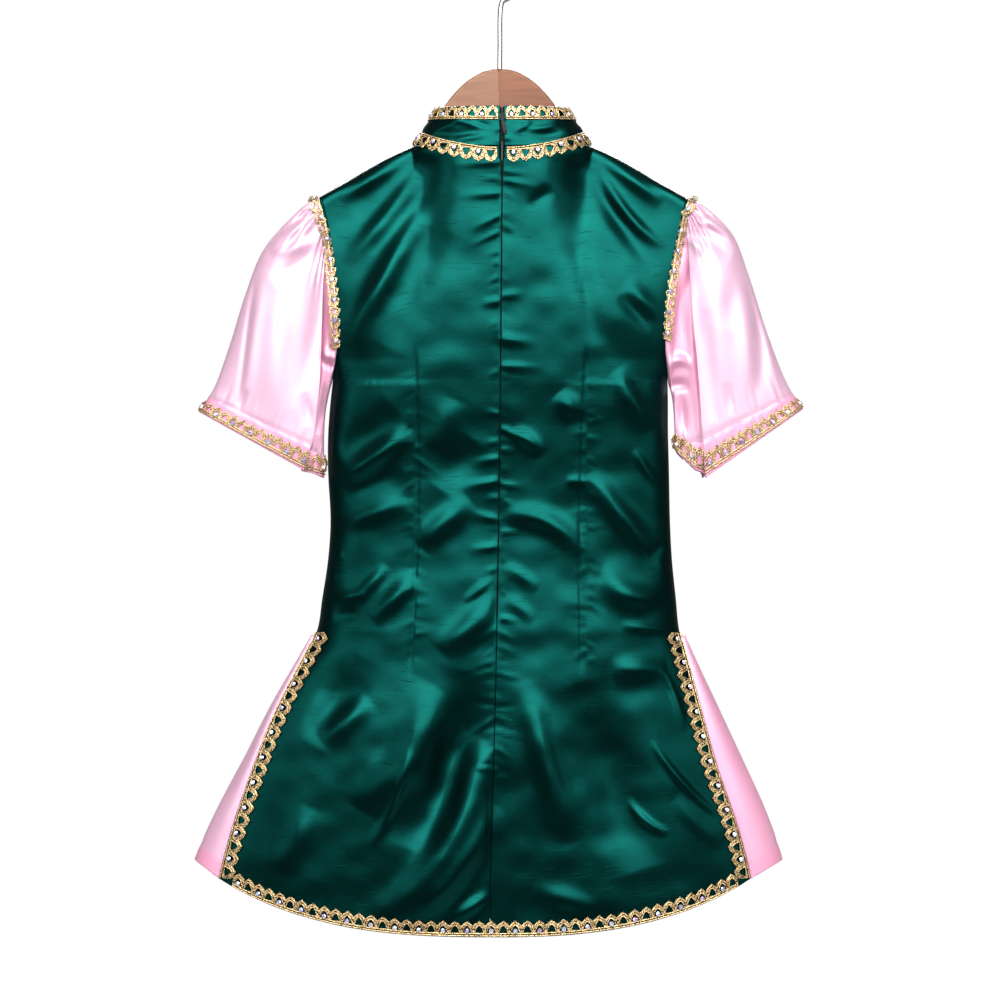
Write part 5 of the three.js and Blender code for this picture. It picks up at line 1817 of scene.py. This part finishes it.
@dataclass
class Trims:
    """All the lace of the dress, along its edges and seams, and the sleeves' stitches."""

    form: BodyForm
    collar: Collar
    sleeves: list[Sleeve]
    lace: Lace
    beside_zip: float = 3.0
    hem_pitch: float = 9.4
    slit_pitch: float = 10.6
    collar_pitch: float = 7.8
    neck_pitch: float = 9.9
    cuff_pitch: float = 8.2
    armhole_pitch: float = 8.4
    armhole_reach: float = 0.9
    cuff_stretch: float = 1.28
    cuff_inset: float = 2.2
    stitch: float = 2.0
    stitch_gap: float = 2.9

    def build(self) -> None:
        """Lays every strip."""
        self.hems_and_slits()
        self.neck()
        for sleeve in self.sleeves:
            self.sleeve(sleeve)

    def hems_and_slits(self) -> None:
        """Lays the lace along both hems and the four edges of the slits."""
        form = self.form
        for side in Side:
            facing = -side.value

            def off(u: Array, z: Array, height: Array) -> Array:
                """A point at a height off the panel."""
                surface = lambda p, q: form.point(side, p, q)
                normals = normals_of(surface, np.clip(u, -0.995, 0.995), z, facing, (0.003, 0.5))
                return surface(u, z) + normals * height[..., None]

            corner = 1.0 - 12.0 / float(form.reach(np.array(-1.0), np.array(-749.0)))
            line = Run(lambda f: form.point(side, lerp(-corner, corner, f),
                                            form.hem(lerp(-corner, corner, f)) + 1.0))

            def hem_place(a: Array, b: Array, height: Array) -> Array:
                """A place on the hem's lace."""
                u = lerp(-corner, corner, line.share(a))
                return off(u, form.hem(u) + 0.6 + b, height)

            self.lace.strip(f"lace_hem_{side.word}", line.total, self.hem_pitch, hem_place)
            for hand in Hand:
                sign = hand.value
                top = form.slit[0] - 2.0
                foot = float(form.hem(np.array(1.0))) + 1.0
                slit = Run(lambda f: form.point(side, np.full_like(f, sign), lerp(top, foot, f)))

                def slit_place(a: Array, b: Array, height: Array) -> Array:
                    """A place on a slit's lace."""
                    z = lerp(top, foot, slit.share(a))
                    u = sign * (1.0 - (b + 0.6) / form.reach(np.full_like(z, sign), z))
                    return off(u, z, height + 0.4)

                self.lace.strip(f"lace_slit_{side.word}_{hand.word}", slit.total,
                                self.slit_pitch, slit_place)

    def neck(self) -> None:
        """Lays the lace round the collar's top and over the neck seam."""
        form, collar = self.form, self.collar
        start = self.beside_zip / collar.top_half
        rise = collar.height_back + 3.0

        def ring(f: Array) -> Array:
            """The angle round the neck."""
            return lerp(start, 2 * math.pi - start, f)

        top_line = Run(lambda f: collar.surface(ring(f), np.ones_like(f)))

        def collar_place(a: Array, b: Array, height: Array) -> Array:
            """A place on the collar's lace."""
            angle = ring(top_line.share(a))
            share = 1.0 - (12.4 - b) / rise
            normals = normals_of(collar.surface, angle, np.minimum(share, 0.97), 1, (0.01, 0.02))
            return collar.surface(angle, share) + normals * height[..., None]

        self.lace.strip("lace_collar", top_line.total, self.collar_pitch, collar_place)

        seam = Run(lambda f: form.below_neck(ring(f)))

        def neck_place(a: Array, b: Array, height: Array) -> Array:
            """A place on the lace over the neck seam."""
            angle = ring(seam.share(a))
            drop = lerp(0.5, 12.5, np.cos(angle) ** 2) - 12.0 + b
            low = form.below_neck(angle, np.maximum(drop, 0.0))
            high = collar.surface(angle, -drop / rise)
            base = np.where((drop > 0)[..., None], low, high)
            normals = normals_of(collar.surface, angle, np.full_like(angle, 0.1), 1, (0.01, 0.02))
            return base + normals * (height + 0.3)[..., None]

        self.lace.strip("lace_neck", seam.total, self.neck_pitch, neck_place)

    def sleeve(self, sleeve: Sleeve) -> None:
        """Lays the lace round a cuff and along its armhole.

        Args:
            sleeve: the sleeve.
        """
        facing = -sleeve.hand.value

        def off(t: Array, s: Array, height: Array, creased: bool) -> Array:
            """A point at a height off the sleeve."""
            surface = lambda p, q: sleeve.surface(p, q, creased)
            normals = normals_of(surface, t, np.clip(s, 0.012, 0.988), facing, (0.01, 0.01))
            return surface(t, s) + normals * height[..., None]

        cuff = Run(lambda f: sleeve.surface(lerp(-1.0, 1.0, f), np.ones_like(f)))

        def cuff_place(a: Array, b: Array, height: Array) -> Array:
            """A place on the cuff's lace."""
            t = lerp(-1.0, 1.0, cuff.share(np.mod(a, cuff.total)))
            from_edge = (self.cuff_stretch * b + self.cuff_inset) / sleeve.length(t)
            return off(t, 1.0 - from_edge, height, True)

        self.lace.strip(f"lace_cuff_{sleeve.hand.word}", cuff.total, self.cuff_pitch, cuff_place,
                        looped=True)
        self.stitches(f"hem_stitches_{sleeve.hand.word}", cuff.total, lambda a, ahead: off(
            lerp(-1.0, 1.0, cuff.share(np.mod(a + ahead, cuff.total))),
            np.full_like(a, sleeve.band_at), np.full_like(a, 0.1), True))
        end = self.armhole_reach
        seam = Run(lambda f: sleeve.surface(lerp(-end, end, f), np.zeros_like(f), False))

        def seam_place(a: Array, b: Array, height: Array) -> Array:
            """A place on the armhole's lace."""
            t = lerp(-end, end, seam.share(a))
            return off(t, (b + 0.6) / sleeve.length(t), height + 1.0, False)

        self.lace.strip(f"lace_armhole_{sleeve.hand.word}", seam.total, self.armhole_pitch,
                        seam_place)

    def stitches(self, name: str, length: float, place: Callable) -> None:
        """Sews a row of stitches along a line.

        Args:
            name: the row's name.
            length: the line's length.
            place: gives points for lengths along, moved on by a distance.
        """
        at = np.arange(0.0, length - self.stitch_gap, self.stitch_gap)
        here, ahead = place(at, -0.5), place(at, 0.5)
        x_axis = unit(ahead - here)
        z_axis = unit(np.cross(x_axis, np.array([0.0, 1.0, 0.0])))
        turns = eulers(x_axis, np.cross(z_axis, x_axis), z_axis)
        sizes = np.full((len(at), 3), self.stitch * MM)
        tree = Repeat("stitches", {"Thick": 0.2}).pills()
        row = grown(name, tree, self.lace.finishes.thread, (here + ahead) / 2, [],
                    {"turn": turns, "size": sizes})
        dress(row, self.lace.finishes.thread, [])


# Zip and hanger.


@dataclass
class Zip:
    """The invisible zip: two tapes with coil teeth, a slider, a pull tab and a stop."""

    form: BodyForm
    collar: Collar
    finishes: Finishes
    foot: float = -540.0
    tooth_pitch: float = 1.5
    tooth_size: float = 1.3

    def line(self, out: Array, z: Array, inward: Array) -> Array:
        """Points beside the centre back, at a depth behind the cloth's face.

        Args:
            out: distances from the centre.
            z: heights.
            inward: distances behind the cloth's face.

        Returns:
            Points in millimetres.
        """
        neck = float(self.form.top(Side.BACK, np.array(0.0)))
        angle = out / self.collar.top_half
        on_collar = self.collar.surface(angle, (z - neck - SEAM) / self.collar.height_back)
        u = out / self.form.reach(np.ones_like(z), z)
        on_back = self.form.point(Side.BACK, u, np.minimum(z, neck), creased=False)
        high = z > neck
        y = np.where(high, on_collar[..., 1], on_back[..., 1]) + inward
        x = np.where(high, self.collar.centre, self.form.widths.read("centre", z)) + out
        return points(x, y, z)

    def build(self) -> None:
        """Makes the tapes and the teeth, and gives the metal parts their plate."""
        neck = float(self.form.top(Side.BACK, np.array(0.0)))
        top = neck + self.collar.height_back - 1.0
        profile = [(0.15, 1.7), (0.9, 1.6), (1.5, 1.9), (1.9, 2.9), (9.0, 3.1)]
        zs = np.linspace(top, self.foot, 220)
        for hand in Hand:
            sign, word = hand.value, hand.word
            columns = [self.line(np.full_like(zs, sign * out), zs, np.full_like(zs, inward))
                       for out, inward in profile]
            piece = grid_mesh(f"zip_tape_{word}_woven", np.array(columns), -sign)
            solidify(piece, 0.5)
            dress(piece, self.finishes.tape, [f"zip_tape_{word}"])
        self.teeth(top)
        for node in ("zip_slider", "zip_pull", "zip_stop"):
            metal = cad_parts[node]
            metal.data.materials.clear()
            metal.data.materials.append(self.finishes.nickel)

    def teeth(self, top: float) -> None:
        """Makes the coil's teeth, left and right by turns.

        Args:
            top: the height of the highest tooth.
        """
        zs = np.arange(top - 2.0, self.foot + 2.0, -self.tooth_pitch / 2)
        sign = np.where(np.arange(len(zs)) % 2 == 0, -1.0, 1.0)
        spots = self.line(sign * 0.35, zs, np.full_like(zs, 1.2))
        x_axis = np.repeat([[1.0, 0.0, 0.0]], len(zs), axis=0)
        y_axis = np.repeat([[0.0, 1.0, 0.0]], len(zs), axis=0)
        turns = eulers(x_axis, y_axis, np.cross(x_axis, y_axis))
        sizes = np.full((len(zs), 3), self.tooth_size * MM)
        tree = Repeat("coil_teeth", {"Thick": 0.42}).pills()
        piece = grown("zip_coil_teeth", tree, self.finishes.coil, spots, [],
                      {"turn": turns, "size": sizes})
        dress(piece, self.finishes.coil, [])


@dataclass
class Hanger:
    """The wooden hanger and its steel hook."""

    finishes: Finishes
    thick: float = 12.0
    bevel: float = 2.4
    split: float = -1.4
    left_cut: float = 0.25
    crown: Triple = (44.0, -96.4, -125.2)
    crown_power: float = 2.1
    wire: float = 2.0
    hook_radius: float = 22.0

    def arm(self, hand: Hand, material: Material) -> None:
        """Makes one arm: half the rounded crown, and the slope that carries a shoulder.

        Args:
            hand: left or right.
            material: its wood.
        """
        sign, word = hand.value, hand.word
        half, top, foot = self.crown
        inner = sign * self.split + SEAM / 2 - (self.left_cut if hand is Hand.LEFT else 0.0)
        outline = [(inner, top)]
        for i in range(1, 19):
            x = max(inner + 0.5 * i, half * i / 18)
            outline.append((x, top - (top - foot) * (x / half) ** self.crown_power))
        top_edge = Table("out z", [(44, -125.2), (51, -145), (60, -160), (71, -166), (89, -171.6),
                                   (109, -182.6), (122, -190.8), (134, -198)])
        foot_edge = Table("out z", [(0, -154), (36, -165), (71, -181), (109, -198), (134, -211)])
        outs = np.linspace(45.0, 134.0, 34)
        outline += list(zip(outs, top_edge.read("z", outs)))
        outline += [(135.2, -200.4), (135.6, -204.5), (135.2, -208.6)]
        outs = np.linspace(134.0, inner, 40)
        outline += list(zip(outs, foot_edge.read("z", outs)))
        mesh = bpy.data.meshes.new(f"hanger_wood_{word}")
        verts = [(sign * x * MM, y * self.thick / 2 * MM, z * MM)
                 for y in (-1, 1) for x, z in outline]
        count = len(outline)
        front = list(range(count))
        back = [count + i for i in reversed(range(count))]
        sides = [(i, count + i, count + (i + 1) % count, (i + 1) % count) for i in range(count)]
        if sign < 0:
            faces = [front, back, *sides]
        else:
            faces = [front[::-1], back[::-1], *[face[::-1] for face in sides]]
        mesh.from_pydata(verts, [], faces)
        mesh.validate()
        mesh.update()
        # The split's edges stay sharp, and those along the arm are rounded.
        weight = mesh.attributes.new("bevel_weight_edge", "FLOAT", "EDGE")
        for edge in mesh.edges:
            ends = [mesh.vertices[i].co for i in edge.vertices]
            along = abs(ends[0].y - ends[1].y) < MM
            split = all(abs(end.x - sign * inner * MM) < 0.1 * MM for end in ends)
            weight.data[edge.index].value = 1.0 if along and not split else 0.0
        piece = linked(f"hanger_wood_{word}", mesh)
        round_over = piece.modifiers.new("round_over", "BEVEL")
        round_over.width = self.bevel * MM
        round_over.segments = 4
        round_over.limit_method = "WEIGHT"
        shade_smooth(mesh)
        weighted = piece.modifiers.new("weighted", "WEIGHTED_NORMAL")
        weighted.keep_sharp = True
        dress(piece, material, [f"hanger_arm_{word}"])

    def hook(self) -> None:
        """Makes the hook: a shank and most of a ring, in one round wire."""
        foot = self.crown[1] - 18.0 + SEAM
        ring_z = self.wire - self.hook_radius
        route = [(-0.4, foot), (-0.1, (foot - 50.0) / 2), (0.6, -46.0), (6.6, -39.0)]
        for degrees in range(-35, 216, 25):
            angle = math.radians(degrees)
            route.append((self.hook_radius * math.cos(angle),
                          ring_z + self.hook_radius * math.sin(angle)))
        curve = bpy.data.curves.new("hook_line", "CURVE")
        curve.dimensions = "3D"
        spline = curve.splines.new("POLY")
        fine = np.linspace(0, len(route) - 1, 90)
        xs = catmull(np.array([p[0] for p in route]), fine)
        zs = catmull(np.array([p[1] for p in route]), fine)
        spline.points.add(len(fine) - 1)
        for point, x, z in zip(spline.points, xs, zs):
            point.co = (x * MM, 0.0, z * MM, 1.0)
        curve.bevel_depth = self.wire * MM
        curve.bevel_resolution = 3
        curve.use_fill_caps = True
        line = linked("hook_line", curve)
        piece = linked("hanger_hook_wire", worked_out("hanger_hook_wire", line))
        bpy.data.objects.remove(line)
        shade_smooth(piece.data)
        dress(piece, self.finishes.chrome, ["hanger_hook"])

    def build(self) -> None:
        """Makes both arms and the hook."""
        self.arm(Hand.LEFT, self.finishes.wood_left)
        self.arm(Hand.RIGHT, self.finishes.wood_right)
        self.hook()


def catmull(values: Array, at: Array) -> Array:
    """Reads values at fractional places on a smooth curve through them.

    Args:
        values: one for each whole place.
        at: the places.

    Returns:
        The values there.
    """
    last = len(values) - 1
    i = np.clip(np.floor(at).astype(int), 0, last - 1)
    f = at - i
    p0, p1 = values[np.maximum(i - 1, 0)], values[i]
    p2, p3 = values[i + 1], values[np.minimum(i + 2, last)]
    cubic = 3 * (p1 - p2) + p3 - p0
    square = 2 * p0 - 5 * p1 + 4 * p2 - p3 + f * cubic
    return p1 + 0.5 * f * (p2 - p0 + f * square)


# Studio.


@dataclass
class Studio:
    """A pale floor, soft light, and the camera at the photo's angle."""

    centre_z: float = -0.4448
    distance: float = 2.6
    view_height: float = 0.8
    floor_z: float = -1.7
    room: Triple = (0.15, 0.155, 0.165)
    # Name, place, size, watts, whether dull faces get it and whether glossy ones show it.
    lamps: tuple[tuple, ...] = (
        ("key", (0.1, -2.2, 0.95), (2.1, 1.8), 128.0, True, False),
        ("gloss", (0.05, -2.2, 0.97), (4.0, 1.9), 262.0, False, True),
        ("gloss_top", (0.0, -1.35, 1.7), (2.6, 1.0), 60.0, False, True),
        ("fill_left", (-2.3, -1.5, 0.1), (0.6, 1.2), 9.0, True, True),
        ("fill_right", (2.3, -1.5, 0.1), (0.6, 1.2), 7.0, True, True),
        ("rear", (0.0, 2.2, 1.2), (1.6, 1.0), 95.0, True, True),
    )

    def camera(self) -> None:
        """Makes the camera, level and square to the back of the dress."""
        data = bpy.data.cameras.new("camera")
        data.sensor_width = 36.0
        data.lens = 36.0 * self.distance / self.view_height
        data.clip_start = 0.05
        data.clip_end = 60.0
        camera = linked("camera", data)
        camera.location = (0.0, -self.distance - 0.03, self.centre_z)
        camera.rotation_euler = (math.radians(90), 0.0, 0.0)
        bpy.context.scene.camera = camera

    def light(self, name: str, place: Triple, size: Pair,
              watts: float, lights: bool, shines: bool) -> None:
        """Makes a rectangular soft light that points at the dress.

        Args:
            name: its name.
            place: its middle, in metres.
            size: its width and height.
            watts: its power.
            lights: False where dull faces don't get it.
            shines: False where glossy faces don't show it.
        """
        data = bpy.data.lights.new(name, "AREA")
        data.shape = "RECTANGLE"
        data.size, data.size_y = size
        data.energy = watts
        lamp = linked(name, data)
        lamp.location = place
        lamp.visible_diffuse = lights
        lamp.visible_glossy = shines
        aim = Vector((0.0, 0.0, self.centre_z)) - Vector(place)
        lamp.rotation_euler = aim.to_track_quat("-Z", "Y").to_euler()

    def build(self) -> None:
        """Makes the floor, the lights and the surroundings."""
        self.floor()
        for lamp in self.lamps:
            self.light(*lamp)
        world = bpy.data.worlds.new("studio")
        world.use_nodes = True
        tree = world.node_tree
        shader = tree.nodes["Background"]
        shader.inputs["Strength"].default_value = 1.0
        seen = add_node(tree, "ShaderNodeLightPath").outputs["Is Camera Ray"]
        tone = ramp(tree, seen, [(0.0, (*self.room, 1.0)), (1.0, (1.0, 1.0, 1.0, 1.0))])
        tree.links.new(tone, shader.inputs["Color"])
        bpy.context.scene.world = world
        bpy.context.scene.view_settings.view_transform = "Standard"

    def floor(self) -> None:
        """Makes the pale floor, below and behind the dress."""
        mesh = bpy.data.meshes.new("floor")
        verts = [(x, y, self.floor_z) for x, y in ((-5, -1.2), (5, -1.2), (5, 4), (-5, 4))]
        mesh.from_pydata(verts, [], [(0, 1, 2, 3)])
        mesh.materials.append(new_material(
            "floor_paint", Roughness=0.9, Base_Color=linear("#dcdcdc"))[0])
        linked("floor", mesh)


def main() -> None:
    """Builds the dress, its hanger and the studio in order."""
    logging.basicConfig(level=logging.INFO, format="%(name)s: %(message)s")
    studio = Studio()
    studio.camera()
    finishes = Finishes()
    form = BodyForm()
    Body(form, finishes).build()
    collar = Collar(form, finishes)
    collar.build()
    Inserts(form, finishes).build()
    sleeves = [Sleeve(form, finishes, hand, table) for hand, table in sleeve_tables().items()]
    for sleeve in sleeves:
        sleeve.build()
    Trims(form, collar, sleeves, Lace(finishes)).build()
    Zip(form, collar, finishes).build()
    Hanger(finishes).build()
    studio.build()


if __name__ == "__main__":
    main()
